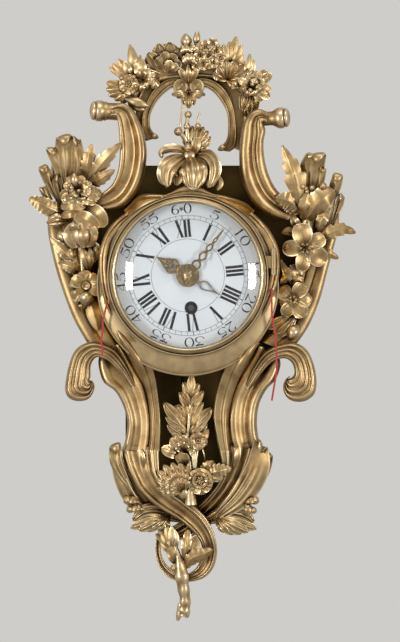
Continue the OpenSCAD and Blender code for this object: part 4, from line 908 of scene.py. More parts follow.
@dataclass
class CaseFrame:
    """Rails, volutes, legs, knot and upper scrolls of the case, and the surround of the dial."""

    hole: float = 62.0  # the surround's sizes
    outside: float = 75.0
    drop: float = 8.0  # how far the outside's centre lies below the dial's
    left_rail: Rows = (
        (49, 214, 72, 214, 34), (48.5, 228, 74, 228, 38), (51, 245, 77, 245, 40), (57, 270, 83, 268, 41),
        (65, 295, 92, 292, 42), (74, 318, 101, 312, 43), (85, 338, 109, 329, 44), (93, 350, 118, 344, 44))
    right_rail: Rows = (
        (339, 210, 320, 210, 34), (337, 232, 316, 232, 38), (331, 255, 310, 253, 40),
        (326, 274, 305, 270, 41), (319, 300, 296, 294, 42), (309, 324, 286, 314, 43),
        (298, 341, 275, 328, 44), (288, 352, 262, 342, 44))
    left_volute: Rows = (
        (137, 386, 132, 388, 47), (128, 366, 119.5, 371.5, 52.5), (116, 349.5, 108.5, 360.5, 55, 4),
        (98, 342, 98, 357, 57, 6), (84, 344, 93, 361, 58, 8), (75, 352, 91, 367, 58, 10),
        (70, 365, 91, 372, 58, 12), (67, 380, 91, 377, 58, 12), (66.5, 391, 90, 379, 58, 14),
        (71, 398, 90.5, 381, 58, 14), (80, 400.5, 91.5, 381.5, 57, 16), (89, 398.5, 91, 381, 56, 18),
        (94, 391.5, 90, 380, 54.5, 20), (95, 385, 88.5, 379.3, 52.5, 22), (92.8, 380.5, 87, 379, 50, 24))
    right_volute: Rows = (
        (244, 387, 249, 389, 47), (253, 366.5, 261.5, 372, 52.5), (265, 350.5, 272, 361.5, 55, 4),
        (284, 343, 283, 358, 57, 6), (297, 343.5, 290, 361, 58, 8), (307, 351, 293, 366, 58, 10),
        (313, 365, 294, 371, 58, 12), (315.5, 381, 293.5, 374, 58, 12), (313.5, 393, 292, 376.5, 58, 14),
        (305, 400, 289.5, 378, 58, 14), (295, 401, 287.5, 378.3, 57, 16), (287.5, 398, 287, 377.7, 56, 18),
        (283.3, 391.5, 287.3, 377, 54.5, 20), (283, 384, 288.5, 376.2, 52.5, 22),
        (285.5, 378.5, 290, 375.8, 50, 24))
    left_leg: Rows = (
        (103, 349, 127, 342, 46), (99, 362, 139, 352, 48), (104, 381, 149, 366, 50), (116, 391, 155, 382, 51),
        (124, 406, 158.5, 400, 51), (128, 422, 160.5, 420, 51), (126, 438, 160.5, 438, 50),
        (122.5, 450, 159.5, 450, 49))
    right_leg: Rows = (
        (248, 343, 276, 351, 46), (238, 352, 280, 363.5, 48), (228, 366, 275, 379, 50),
        (221, 382, 266, 389, 51), (216, 400, 259, 403, 51), (214.5, 420, 256.5, 420, 51),
        (216, 437, 258, 436, 50), (219, 450, 262, 446, 49))
    left_seat: Rows = (
        (113, 326, 120, 322, 70, 40), (119, 338, 129, 332, 73.5, 30), (127, 350, 139, 342, 73.5, 20),
        (136, 364, 149, 356, 71.5, 10), (143, 378, 155, 373, 63), (147.5, 394, 158, 391, 56),
        (149.8, 410, 160, 409, 53.5), (150.5, 424, 160.8, 424, 53), (150, 438, 160.6, 438, 52),
        (148.5, 450.5, 159.8, 450.5, 51))
    right_seat: Rows = (
        (259, 343, 249, 336, 70, 40), (252, 353, 240, 346, 73.5, 30), (244, 366, 229, 359, 72, 14),
        (237, 382, 221, 376, 63), (232, 397, 215.8, 395, 56), (229, 412, 213.6, 411, 53.5),
        (228.3, 424, 214.4, 424, 53), (228.6, 438, 217, 437, 52), (230, 451, 220, 451, 51))
    knot_front: Rows = (
        (123.4, 445, 159.9, 445, 50.6), (122.7, 451, 159.5, 451, 51), (126.5, 464, 160, 464, 51),
        (131, 474, 161, 472, 51, 4), (137, 486, 168, 484, 50.5, 8), (147, 497, 178, 492.5, 50, 16),
        (160, 507, 191, 502, 49, 24), (176, 516.5, 204, 514, 47.5, 26), (190, 527.5, 212, 527, 45, 24),
        (199, 538, 216, 540, 43, 20), (202, 549, 217, 553, 40, 18), (200, 560, 213, 567, 38, 16),
        (194, 569, 203, 577, 36, 12), (185, 573, 187, 580.5, 34, 9), (173.5, 570, 170, 577, 32, 6),
        (164.5, 561, 159, 565, 29, 4), (161, 549.5, 155.5, 550, 27), (162.5, 538, 157, 534, 25),
        (169, 529, 163, 523, 25))
    knot_rear: Rows = (
        (260.4, 441, 217.4, 445, 50.6), (262, 447, 219, 451, 51), (255, 463, 221, 464, 49.5),
        (246, 479, 219, 478, 46), (236, 494, 212, 490, 42), (226, 507, 203, 500, 36),
        (214, 518, 194, 509, 29), (203, 529, 184, 518, 25), (192, 536, 174, 525, 25),
        (177, 540, 166, 529, 25), (168, 543, 161, 535, 25))
    left_scroll: Rows = (
        (91, 201, 103, 212, 52), (104, 193, 122, 208, 54), (113, 185, 134, 197, 57),
        (118.5, 172, 143, 179, 60), (120.5, 155, 147, 158, 62), (120, 140, 145.5, 140, 62),
        (119, 127, 140.5, 125, 62, 6), (117.5, 119.5, 134, 112, 62, 12), (115.5, 117.5, 124, 105.5, 62, 16),
        (112, 117.5, 113.5, 107.5, 60, 22))
    right_scroll: Rows = (
        (287, 222, 294, 210, 52), (270, 217, 284, 199, 54), (257, 208, 274, 188, 57),
        (247, 194, 267, 173, 60), (241, 178, 263.5, 157, 62), (239, 160, 263, 143, 62),
        (240, 141, 265, 132.5, 62, 6), (243, 125, 263, 127, 62, 10), (249, 115, 262, 124.5, 62, 14),
        (258, 111, 263, 124, 61, 18), (267, 114, 266, 125, 60, 22))
    left_border: Rows = (
        (127, 214, 131, 221, 66, 62), (116, 222, 122, 230, 72, 62), (107, 234, 114, 240, 74, 62),
        (101.5, 249, 110, 252, 75, 62), (100, 265, 108.5, 266, 75, 62), (101.5, 284, 109.5, 282, 75, 62),
        (105, 300, 112.5, 296, 74, 62), (111, 317, 118, 312, 72, 62), (119, 331, 124, 326, 66, 62))
    right_border: Rows = (
        (251, 213, 247, 221, 66, 62), (261, 222, 255, 230, 72, 62), (270, 233, 262, 240, 74, 62),
        (277, 248, 267.5, 252, 75, 62), (279, 264, 269, 265, 75, 62), (277, 283, 267.5, 281, 75, 62),
        (271, 300, 263, 296, 74, 62), (263, 317, 255.5, 312, 72, 62), (253, 333, 247, 327, 66, 62))
    left_shoulder: Rows = (
        (169.7, 200.5, 168, 196, 46, 30), (157.9, 204, 157, 195.2, 43, 28), (148, 208, 146.5, 194.6, 40, 26),
        (140, 212.8, 137, 196, 38, 24), (133.5, 217.3, 129.5, 204, 37, 24), (129, 221, 124, 209, 36, 24))
    right_shoulder: Rows = (
        (206.3, 200.5, 208, 196, 46, 30), (218.1, 204, 219, 195.5, 43, 28), (228, 208, 231, 198, 40, 26),
        (236, 212.8, 242.5, 201.5, 38, 24), (242.5, 217.3, 249.5, 205, 37, 24), (247, 221, 255, 210, 36, 24))

    def knob(self, casting: Casting, u: float, v: float, way: float, neck: float) -> None:
        """The turned knob that an upper scroll's eye is drawn out into.

        Args:
            casting: the scroll's casting.
            u: where the neck leaves the scroll, on the drawing.
            v: height of its axis, on the drawing.
            way: -1 to the left, 1 to the right.
            neck: radius of the neck.
        """
        profile = [(neck + 0.6, -5), (neck + 0.2, 0), (neck, 4), (neck, 7.5), (neck + 1.0, 9.5), (7.6, 11),
                   (8.5, 12.4), (8.8, 14.4), (8.7, 16.4), (8.0, 17.6), (7.3, 17.9), (7.9, 18.7),
                   (7.9, 19.8), (7.0, 20.9), (5.0, 21.8), (2.2, 22.4), (0.1, 22.5)]
        casting.turned((u, v, 50), (way, 0.05, 0.1), profile, 48)

    def build(self) -> None:
        """The frame's castings, each standing for its solid."""
        left = Casting()
        left.moulding(self.left_rail, Section.RAIL, 7)
        left.moulding(self.left_leg, Section.LEG, 8)
        left.moulding(self.left_seat, Section.RIDGE, 4)
        left.moulding(self.left_volute, Section.REEDS, 6, swell=1.0)
        left.cast("left_frame")
        right = Casting()
        right.moulding(self.right_rail, Section.RAIL, 7)
        right.moulding(self.right_leg, Section.LEG_RIGHT, 8)
        right.moulding(self.right_seat, Section.RIDGE, 4.5)
        right.moulding(self.right_volute, Section.REEDS, 6, swell=1.0)
        right.cast("right_frame")
        knot = Casting()
        knot.moulding(self.knot_rear, Section.STRAP_RIGHT, 8)
        knot.moulding(self.knot_front, Section.STRAP, 8)
        for u, v, lean in ((141, 448, 2), (239, 446, -2)):
            knot.leaf([(u + 2 * lean, v + 22, 44), (u + lean, v + 10, 48.5), (u, v, 48.5)], 6, camber=0.3,
                      belly=1.3, tip=0.55)
        knot.cast("bottom_knot")
        scroll = Casting()
        scroll.moulding(self.left_scroll, Section.SCROLL, 7)
        self.knob(scroll, 117.5, 113.5, -1, 7.0)
        scroll.cast("left_upper_scroll")
        scroll = Casting()
        scroll.moulding(self.right_scroll, Section.DOUBLE, 7)
        self.knob(scroll, 262.5, 120.5, 1, 5.8)
        scroll.cast("right_upper_scroll")
        self.surround()

    def surround(self) -> None:
        """The dial surround: round inside, low-hanging outside, with a ridged border each side."""
        turn = round_turn(180)
        section = ((0, 64), (0, 70.6), (.05, 71.6), (.2, 71.8), (.82, 71.8), (.87, 71.0), (.9, 71.0),
                   (.93, 71.7), (.97, 71.2), (1, 69.6), (1, 64), (0, 64))
        rings = []
        for share, level in section:
            r = self.hole + share * (self.outside - self.hole)
            y = r * np.sin(turn) - share * self.drop
            rings.append(np.stack([r * np.cos(turn), y, np.full(len(turn), level)], axis=1))
        ring = Casting()
        ring.grid(np.array(rings), caps=False)
        for border in (self.left_border, self.right_border):
            ring.moulding(border, Section.BORDER, 3.4)
        for shoulder in (self.left_shoulder, self.right_shoulder):
            ring.moulding(shoulder, Section.SHOULDER, 5.0)
        ring.make("dial_surround_ring", GILT, "case", ["dial_surround"])


# The ornament: flowers and leaves, cast in groups.


@dataclass
class Crest:
    """The open arch, its pendant leaf, and the garland over it."""

    pendant: Row = (188.7, 93.5, 34)
    fork: Row = (188.6, 86, 36)  # where the three leaves spring from, between the arch's scrolls
    left_hoop: Rows = (
        (147, 141.5, 158.5, 138, 30, 8), (143.5, 138, 152, 131, 32, 4), (141.7, 129, 150, 124, 34),
        (142, 116, 151, 114, 34), (147, 101, 157, 102, 34), (156, 87, 165, 93.5, 34), (167, 80, 173, 88, 34),
        (178, 79, 180, 87.5, 34), (186, 83, 183.5, 91, 33, 4))
    left_band: Rows = (
        (139, 140, 147, 139, 28), (137, 127, 146, 128, 28), (136, 113, 145, 115, 28), (138, 99, 149, 103, 28),
        (145, 85, 158, 91, 28), (158, 75, 168, 84, 28), (173, 70, 180, 82, 28), (188, 69, 188, 83, 28))
    right_hoop: Rows = (
        (229, 152.5, 218, 150, 30, 8), (235, 147, 226, 141, 32, 4), (236.5, 132, 228, 129, 34),
        (235, 114, 227, 114, 34), (229.5, 97, 221, 102, 34), (220, 85, 213.5, 93, 34),
        (209, 79.5, 205, 88, 34), (198, 79, 198, 88, 34), (190, 83.5, 193, 91, 33, 4))
    right_band: Rows = (
        (188, 69, 188, 83, 28), (204, 69, 207, 82, 28), (222, 74, 220, 88, 28), (237, 83, 228, 97, 28),
        (245, 98, 231, 109, 28), (247.5, 115, 232, 124, 28), (246, 135, 232, 138, 28),
        (242, 152, 231, 148, 28))
    stem: Rows = (
        (126, 99, 135, 103, 34, 8), (131, 79, 144, 90, 37, 8), (155, 67, 163, 82, 38, 8),
        (188, 60, 190, 79, 38, 8), (219, 65, 214, 80, 38, 8), (245, 78, 234, 89, 37, 8),
        (255, 99, 246, 102.5, 34, 8))

    def arch(self) -> None:
        """The hoop in two halves on its broad backing, the inward scrolls and the pendant leaf."""
        arch = Casting()
        for hoop, band in ((self.left_hoop, self.left_band), (self.right_hoop, self.right_band)):
            arch.moulding(band, Section.FLAT, 2)
            arch.moulding(hoop, Section.HOOP, 3.5)
        disc = [(6.3, -20), (6.3, 3.6), (5.9, 4.3), (5.1, 4.4), (4.5, 4), (3.4, 4.1), (2, 4.4), (0.2, 4.5)]
        for u in (180.7, 197):
            arch.turned((u, 87.5, 30), (0, 0, 1), disc, 36)
        arch.drop((188.7, 80, 29), (188.7, 95, 30), 4.5)
        arch.drop((150.5, 136, 28), (159, 138.5, 29), 3)
        arch.drop((227, 146, 28), (217.5, 151, 29), 3.2)
        arch.fan(self.pendant, [(171.5, 96, 35), (176.5, 99, 36), (201, 99, 36), (205.5, 96, 35)], 6, 3)
        arch.fan(self.pendant, [(183, 106, 36), (194.5, 106, 36), (188.7, 110, 37)], 8, flutes=2, vein=0.5)
        arch.cast("crest_arch")

    def garland(self) -> None:
        """Leaves, shells, buds and berries that run over the arch on a broad stem."""
        garland = Casting()
        garland.moulding(self.stem, Section.FLAT, 3)
        self.left_group(garland)
        self.shell(garland)
        self.heart(garland)
        self.berries(garland)
        self.right_group(garland)
        garland.cast("crest_garland")

    def left_group(self, garland: Casting) -> None:
        """Spear leaf, two finger leaves, a small flower, buds and a star leaf.

        Args:
            garland: the garland's casting.
        """
        garland.leaf([(137, 80, 37), (134, 64, 44), (130.5, 46.5, 42)], 12, camber=0.4, rib=0.9, belly=0.95)
        garland.leaf([(139, 80, 37), (139, 68, 44), (141, 57, 43)], 9, camber=0.4, rib=0.7)
        garland.fan((134, 82, 37), [(109.5, 69, 41), (113, 65.5, 42), (118.5, 60.5, 42), (124.5, 63, 43),
                                    (116, 74, 43)], 8)
        garland.fan((131, 90, 37), [(107, 84, 40), (106.5, 91, 40), (109, 97, 40), (115, 102, 39),
                                    (122, 105, 38)], 9.5)
        garland.blossom((129, 86, 42), 9.5, 5, 30, 2, 0)
        for u, v in ((122, 80), (134, 79), (136, 88), (124, 92), (133, 94)):
            garland.bead((u, v, 45), 2.4)
        garland.drop((125, 100, 41), (149.5, 108, 43), 5.4, 3)
        garland.drop((128, 105, 39), (146, 112, 40), 4.2, 3)
        garland.fan((143, 82, 39), [(136, 67, 43), (142, 60, 44), (150, 70, 44), (155, 80, 43),
                                    (148, 90, 41), (140, 94, 40)], 8.5)

    def shell(self, garland: Casting) -> None:
        """A shell of ruffled petals that turn forward over a dark hollow.

        Args:
            garland: the garland's casting.
        """
        garland.fan((168, 77, 36), [(145.5, 70, 43), (149, 56, 45), (159, 47, 45), (170, 45.5, 45),
                                    (179, 51, 44)], 20, -1.5, ruffle=0.8, waves=2, flutes=3, vein=0.6)
        garland.fan((170, 74, 38), [(157, 60, 47), (164, 54, 47), (173, 55.5, 46), (179, 62, 45)], 12, -1,
                    ruffle=0.7, waves=2)
        garland.fan((168, 74, 40), [(170, 62, 46), (178, 66, 45)], 9, 1)
        garland.fan((160, 80, 37), [(149, 76, 43), (147, 84, 41), (152, 90, 39)], 8)

    def heart(self, garland: Casting) -> None:
        """Three leaves that spring from between the arch's scrolls, and two buds above them.

        Args:
            garland: the garland's casting.
        """
        for u, v, w in ((177.5, 68.5, 7.5), (188.5, 66, 6), (199.5, 68.5, 7.5)):
            garland.leaf([self.fork, (0.5 * (self.fork[0] + u), 76, 42), (u, v, 42)], w, camber=0.35,
                         rib=0.8, belly=0.9, tip=0.6)
        garland.stalk([(189, 66, 37), (187.5, 57, 38), (186.5, 48, 38)], (3.6, 3.2, 4))
        garland.drop((187, 51, 38), (185.5, 35, 39), 5.6, 4)
        garland.fan((187, 58, 40), [(181, 47, 42), (186, 46, 43), (192, 48, 42)], 6)
        garland.stalk([(194, 64, 37), (195.5, 54, 38), (196.5, 44, 38)], (3, 2.4, 2.2))
        garland.drop((196, 47, 38), (197.5, 31.5, 38.5), 3.5, 3, 1.2)
        garland.fan((196, 58, 40), [(191, 45, 42), (201, 43, 42)], 6)
        garland.fan((190, 68, 40), [(183, 58, 44), (187, 55, 45), (192, 55, 45), (197, 60, 44)], 7)

    def berries(self, garland: Casting) -> None:
        """Small cupped flowers and berries to the right of the buds.

        Args:
            garland: the garland's casting.
        """
        garland.leaf([(208, 74, 34), (208.5, 60, 38), (210, 44, 36)], 27, camber=0.15, belly=1.1, tip=0.3)
        for i, (u, v, r) in enumerate(((200, 57, 6), (206, 49, 6.5), (212.5, 46, 5.5), (208.5, 58, 6),
                                       (216, 53, 6), (203, 66, 6), (213, 64, 6), (197, 68, 5),
                                       (221, 60, 5))):
            garland.blossom((u, v, 42), r, 5, 23 * i, 1.6, -0.8, beads=3, thick=1)
        for u, v in ((197, 62), (204, 55), (210, 52), (207, 63), (213, 57), (201, 50), (218, 48), (209, 70)):
            garland.bead((u, v, 45.5), 2.1)

    def right_group(self, garland: Casting) -> None:
        """Two finger leaves, broad petals, an open flower and the fluted ends below it.

        Args:
            garland: the garland's casting.
        """
        garland.fan((229, 72, 37), [(219, 52, 43), (223, 46, 43), (229.5, 43.5, 43), (236, 38.5, 42),
                                    (241.5, 47, 42), (243, 56, 42)], 8.5)
        garland.fan((247, 84, 36), [(243, 62, 42), (249.5, 55.5, 41), (254, 61.5, 41), (252, 70, 41)], 7)
        garland.fan((227, 82, 37), [(213, 74, 43), (218, 67, 45), (226, 63, 46), (235, 63, 45),
                                    (243, 66.5, 44), (247, 71, 43), (240, 80, 42), (239, 88, 40)], 11, 1.5,
                    ruffle=0.8, waves=2, flutes=2, vein=0.5)
        garland.fan(
            (254, 87, 38), [(247, 76, 42), (258, 72.5, 42), (266, 71.5, 41), (271.5, 76, 40), (266, 84, 42),
                            (271, 92, 40), (269, 100, 40), (261, 103, 40)], 10, camber=-0.1)
        garland.fan((251, 89, 41), [(237.5, 80, 43), (239, 91, 43), (245, 98, 42), (256, 98, 43),
                                    (262, 90, 44), (256, 80, 45)], 8)
        for u, v in ((252, 86), (257, 89), (250, 92), (256, 84)):
            garland.bead((u, v, 46), 2.3)
        garland.leaf([(250, 90, 34), (249, 102, 36), (248, 118, 34)], 21, flutes=4, vein=1, tip=0.35)
        for u, v, w in ((242.5, 113, 8), (249, 114.5, 8), (256, 112, 7)):
            garland.leaf(
                [(250, 92, 37), (0.5 * (u + 250), 103, 41), (u, v, 37)], w, flutes=2, vein=0.8, tip=0.5)


@dataclass
class Iris:
    """The iris over the dial, on its stalk from the back plate."""

    heart: Row = (190, 157, 60)
    hill: Rows = (
        (162, 197.5, 162, 199.5, 69, 62), (171, 194, 171, 198.4, 71, 62), (180, 189.5, 180, 197.7, 73, 60),
        (190, 187, 190, 197.4, 74, 58), (200, 189, 200, 197.7, 73, 60), (209, 193.5, 209, 198.4, 71, 62),
        (219, 197.5, 219, 199.5, 69, 62))

    def build(self) -> None:
        """Standards, falls, buds, the two bright wires of the stalk and the leaf below."""
        iris = Casting()
        iris.stalk([(189, 160, 4), (189, 160, 30), (189, 160, 56)], (5, 5, 6))
        iris.drop((189, 166, 54), (190, 148, 62), 8, 5)
        self.standards(iris)
        self.falls(iris)
        self.buds(iris)
        iris.moulding(self.hill, Section.RAIL, 3)
        iris.cast("iris_spray")

    def standards(self, iris: Casting) -> None:
        """Upright petals: a fluted fan that leans right, and a small curled one to the left.

        Args:
            iris: the spray's casting.
        """
        iris.fan((191, 155, 58), [(187, 131, 59), (192.5, 128.5, 60), (198, 129, 61), (203.5, 129.5, 61),
                                  (207.5, 133.5, 61), (210, 139, 60), (207, 147, 60)], 13.5, flutes=2,
                 vein=0.7, ruffle=0.8, waves=2)
        iris.leaf([(193, 156, 61), (196, 148, 66), (197, 139, 65)], 9, camber=-0.25, belly=1.3, tip=0.5)
        iris.leaf([(190, 154, 61), (180, 151, 66), (170, 150.5, 68), (162, 154, 67), (162, 160, 66)], 9,
                  camber=0.5, belly=1.1, tip=0.45, ruffle=0.5)

    def falls(self, iris: Casting) -> None:
        """Hanging petals: broad, fluted and ruffled, the left one rolled over a dark hollow.

        Args:
            iris: the spray's casting.
        """
        iris.leaf([(186, 158, 62), (177, 164, 72), (169, 173, 77), (168, 188, 76)], 22, camber=0.4,
                  flutes=3, vein=0.7, ruffle=0.9, waves=2, belly=1.2, tip=0.4, thick=1.5)
        iris.leaf([(188, 160, 60), (181, 168, 66), (178, 177, 68), (177, 187, 68)], 11, camber=-0.4,
                  belly=1.2, tip=0.5)
        iris.leaf([self.heart, (192, 166, 75), (193, 176, 80), (193, 190, 78)], 28, camber=0.3, flutes=5,
                  vein=0.8, ruffle=1.1, waves=2.5, belly=1.15, tip=0.3, thick=1.5)
        iris.leaf([(194, 157, 60), (204, 160, 71), (210, 170, 77), (208, 188, 76)], 22, camber=0.35,
                  flutes=4, vein=0.8, ruffle=1, waves=2.5, belly=1.2, tip=0.4, thick=1.5)
        iris.leaf([(208, 176, 73), (215, 179, 76), (219.5, 185, 77), (217, 192, 77)], 8, camber=0.5, tip=0.5)

    def buds(self, iris: Casting) -> None:
        """The ball over the heart, three budded stems and the two wires.

        Args:
            iris: the spray's casting.
        """
        iris.bead((188, 149.5, 66), 4.4)
        iris.stalk([(189, 152, 58), (187.5, 138, 60), (187, 127, 60), (188, 118, 60)], (3.2, 2.6, 2.2, 1.4))
        iris.drop((187, 133, 60), (187, 123.5, 60), 3.4, 3)
        iris.bead((188.2, 116.7, 60), 3.7)
        iris.stalk([(189, 152, 58), (185, 140, 61), (179, 134, 62)], (2.8, 2.4, 2.2))
        iris.bead((178.5, 133.5, 62), 4.3)
        iris.bead((198, 128, 62), 3)
        iris.stalk([(183, 106, 57), (181.5, 117, 58), (181, 130, 59), (184, 142, 57)],
                   (0.95, 0.95, 0.95, 0.95), 0, 8)
        iris.stalk([(200, 115, 57), (198, 121, 58), (196.5, 130, 58)], (0.9, 0.9, 0.9), 0, 8)


@dataclass
class SideSprays:
    """The flowers and acanthus on the clock's shoulders and down its sides."""

    left_stem: Rows = (
        (63, 204, 36), (77, 192, 44), (78, 216, 44), (81, 238, 44), (83, 262, 44), (84, 288, 44))
    left_eye: Row = (87, 286, 49)
    right_stem: Rows = (
        (318, 200, 40), (310, 208, 45), (306, 226, 44), (305, 246, 46), (300, 270, 44), (294, 300, 44),
        (292, 312, 42))
    right_heart: Row = (304, 248, 53)
    lower_heart: Row = (292, 300, 49)

    def posts(self, spray: Casting, places: Rows) -> None:
        """Posts that carry a spray from the back plate, each given as u, v and radius in drawing units."""
        for u, v, r in places:
            spray.stalk([(u, v, 4), (u, v, 24), (u, v, 42)], (r, r, r))

    def left(self) -> None:
        """The left spray: acanthus, serrated leaves, an opening flower, a rosebud and a lower flower."""
        spray = Casting()
        spray.stalk(self.left_stem, (5, 7, 6, 4, 3, 3), 0.06)
        self.posts(spray, ((78, 202, 8), (82, 240, 5), (84, 284, 4)))
        self.left_acanthus(spray)
        self.opening_flower(spray)
        self.rosebud(spray)
        self.left_lower(spray)
        spray.cast("left_spray")

    def left_acanthus(self, spray: Casting) -> None:
        """Fluted lobes with rolled ends, and three serrated leaves beside them.

        Args:
            spray: the spray's casting.
        """
        spray.leaf([(70, 204, 40), (69.5, 184, 48), (69, 164, 53.5), (68.5, 147, 56)], 34, camber=0.3,
                   flutes=5, vein=1.2, belly=1.1, tip=0.3)
        spray.tongue([(70, 202, 42), (67.5, 180, 50.5), (66.5, 160, 56), (65.5, 140.5, 58)], 20, 3.2, 3)
        spray.tongue([(68, 200, 42), (64.5, 180, 49.5), (60, 165, 54), (53.5, 152, 55)], 14, 2.4, 2)
        spray.tongue([(73, 202, 42), (77, 180, 50.5), (79, 162, 55.5), (77, 143, 57)], 14, 2.4, 2)
        spray.tongue([(62, 206, 40), (55, 192, 46), (49, 178, 50), (45, 170, 52)], 12, 2.5, 2)
        spray.tongue([(64, 206, 40), (60, 192, 47), (57.5, 180, 49)], 9, 1.5, 2)
        spray.tongue([(57, 208, 40), (50, 199, 46), (44.5, 190.5, 49)], 8, 2.1, 1)
        for spine, width, depth in (
                ([(86, 184, 47), (89, 166, 56), (92.5, 146, 57)], 17, 0.26),
                ([(86, 184, 48), (100, 168, 58), (110, 157, 62), (122, 144.5, 63)], 17, 0.26),
                ([(88, 186, 48), (101, 180, 58), (115.5, 171.5, 61)], 15, 0.22)):
            spray.leaf(spine, width, 5, cut=depth, vein=0.15)

    def opening_flower(self, spray: Casting) -> None:
        """A flower half open, ragged below, over smooth oval petals and a veined leaf.

        Args:
            spray: the spray's casting.
        """
        spray.fan(
            (79, 192, 51), [(102, 196, 54), (98, 203, 53), (89, 206, 53), (79, 207, 53), (69, 206, 53),
                            (62, 200, 52)], 15, ruffle=0.9, waves=2.5, camber=-0.12, flutes=2, vein=0.4)
        spray.fan((79, 190, 53), [(65, 186, 56), (68, 179, 57), (84, 177, 57), (93, 185, 56), (92, 194, 57),
                                  (72, 197, 57)], 10, ruffle=0.6, camber=-0.15)
        spray.drop((77, 189, 55), (75, 174.5, 60), 4.6, 3)
        for u, v in ((70, 187), (81, 184), (80, 192), (73, 192)):
            spray.bead((u, v, 60), 2)
        spray.leaf([(68, 216, 42), (53, 210, 49), (41, 204, 51), (30.5, 199, 48)], 18, 8, cut=0.12,
                   vein=0.5, belly=0.95, tip=0.5)
        spray.leaf(
            [(70, 222, 43), (59, 221, 50), (48.5, 224, 47)], 13, flutes=3, vein=0.6, belly=1.1, tip=0.5)
        for spine, width in (
                ([(62, 209, 49), (74, 205, 55), (87, 208, 52)], 12),
                ([(62, 218, 48), (72, 214, 53), (82, 216, 51)], 9),
                ([(76, 214, 51), (88, 222, 57), (99, 230, 53)], 17),
                ([(88, 208, 50), (98, 215, 56), (105, 228, 53)], 17)):
            spray.leaf(spine, width, camber=-0.15, rib=-0.25, belly=1.15, tip=0.42, thick=1.6)

    def rosebud(self, spray: Casting) -> None:
        """A rosebud with wrapped petals, and slim leaves under it.

        Args:
            spray: the spray's casting.
        """
        spray.drop((83, 248, 50), (80, 217, 50), 12, 0, 1.25)
        for spine, width in (([(79, 222, 53), (71.5, 235, 57), (78, 248.5, 54)], 14),
                             ([(85, 221, 53), (92.5, 234, 57), (88, 248, 54)], 13),
                             ([(82, 224, 58), (84, 236, 61.5), (85, 249, 57)], 11)):
            spray.leaf(spine, width, camber=0.35, rib=0, belly=1.25, tip=0.4, thick=1.3)
        spray.leaf([(69, 229, 58), (74, 227, 61), (81, 230, 61)], 5, camber=0.4, rib=0)
        spray.leaf([(82, 270, 45), (66, 253, 51), (51.5, 238, 48)], 13, 7, cut=0.15, vein=0.2)
        spray.leaf([(83, 273, 45), (71, 267, 51), (59, 263, 48)], 13, 6, cut=0.15, vein=0.2)
        for spine, width in (([(90, 272, 46), (86, 259, 53), (82.5, 247, 51)], 8),
                             ([(90, 272, 46), (91.5, 260, 53), (90.5, 248, 51)], 7),
                             ([(95, 263, 45), (98, 252, 50), (96, 243, 49)], 8),
                             ([(76, 264, 45), (74, 256, 50), (73, 248, 49)], 6)):
            spray.leaf(spine, width, camber=0.35, rib=0.7, belly=1.3, tip=0.6)
        spray.drop((62, 230, 44), (64, 244, 46), 5, 4)

    def left_lower(self, spray: Casting) -> None:
        """The lower flower of spoon petals round a dark eye, buds and the smooth leaf that ends the spray.

        Args:
            spray: the spray's casting.
        """
        u, v, z = self.left_eye
        for angle, long, wide in ((100, 15, 14), (155, 16, 13), (45, 15, 12), (-15, 16, 15), (-130, 18, 12)):
            spray.petal(self.left_eye, angle, long, wide, 3, 0.5)
        eye = [(3.6, -3), (3.6, 0), (3, 0.8), (2, 0.2), (1, -0.6), (0.2, -0.6)]
        spray.turned((u, v, z + 4), (0, 0, 1), eye, 24)
        spray.drop((88, 290, 49), (86, 306, 51), 8, 9)
        for u, v, r in ((76, 293, 3.8), (77, 301, 3.6), (73, 286, 3.2)):
            spray.bead((u, v, 50), r)
        spray.leaf([(82, 300, 47), (83, 306, 49), (83.5, 311, 46)], 7)
        spray.leaf([(90, 298, 45), (95, 313, 48), (99, 331, 47)], 16, camber=0.3, tip=0.6)

    def right(self) -> None:
        """The right spray: pointed leaf, curled acanthus, a ragged cluster and two open flowers."""
        spray = Casting()
        spray.stalk(self.right_stem, (5, 8, 6, 6, 5, 5, 4), 0.06)
        self.posts(spray, ((306, 206, 8), (306, 245, 5), (296, 300, 4)))
        self.right_acanthus(spray)
        self.cluster(spray)
        self.open_flower(spray)
        self.right_lower(spray)
        spray.cast("right_spray")

    def right_acanthus(self, spray: Casting) -> None:
        """A tall pointed leaf before fluted lobes with rolled ends.

        Args:
            spray: the spray's casting.
        """
        spray.leaf([(303, 218, 46), (298, 196, 56), (292, 172, 60), (281.5, 147, 58)], 25, 5, cut=0.34,
                   vein=0.4, rib=0.8, tip=0.85)
        spray.tongue([(309, 208, 42), (309.5, 188, 50), (311, 170, 55), (315, 158, 58)], 24, 2.7, 4)
        spray.tongue([(316, 206, 42), (318, 188, 49), (321.5, 171, 53)], 9, 1.8, 2)
        spray.tongue([(326, 214, 42), (331, 198, 47), (334.5, 186, 50), (336.5, 178, 51)], 12, 2.5, 2)
        spray.tongue([(331, 226, 42), (337, 210, 46), (340, 198.5, 48)], 8, 1.9, 2)
        spray.tongue([(326, 230, 42), (329, 214, 47), (331, 198.5, 48)], 8, 1.5, 2)
        spray.leaf([(302, 214, 47), (290, 203, 55), (275, 198.5, 57)], 23, 7, cut=0.2, vein=0.6)

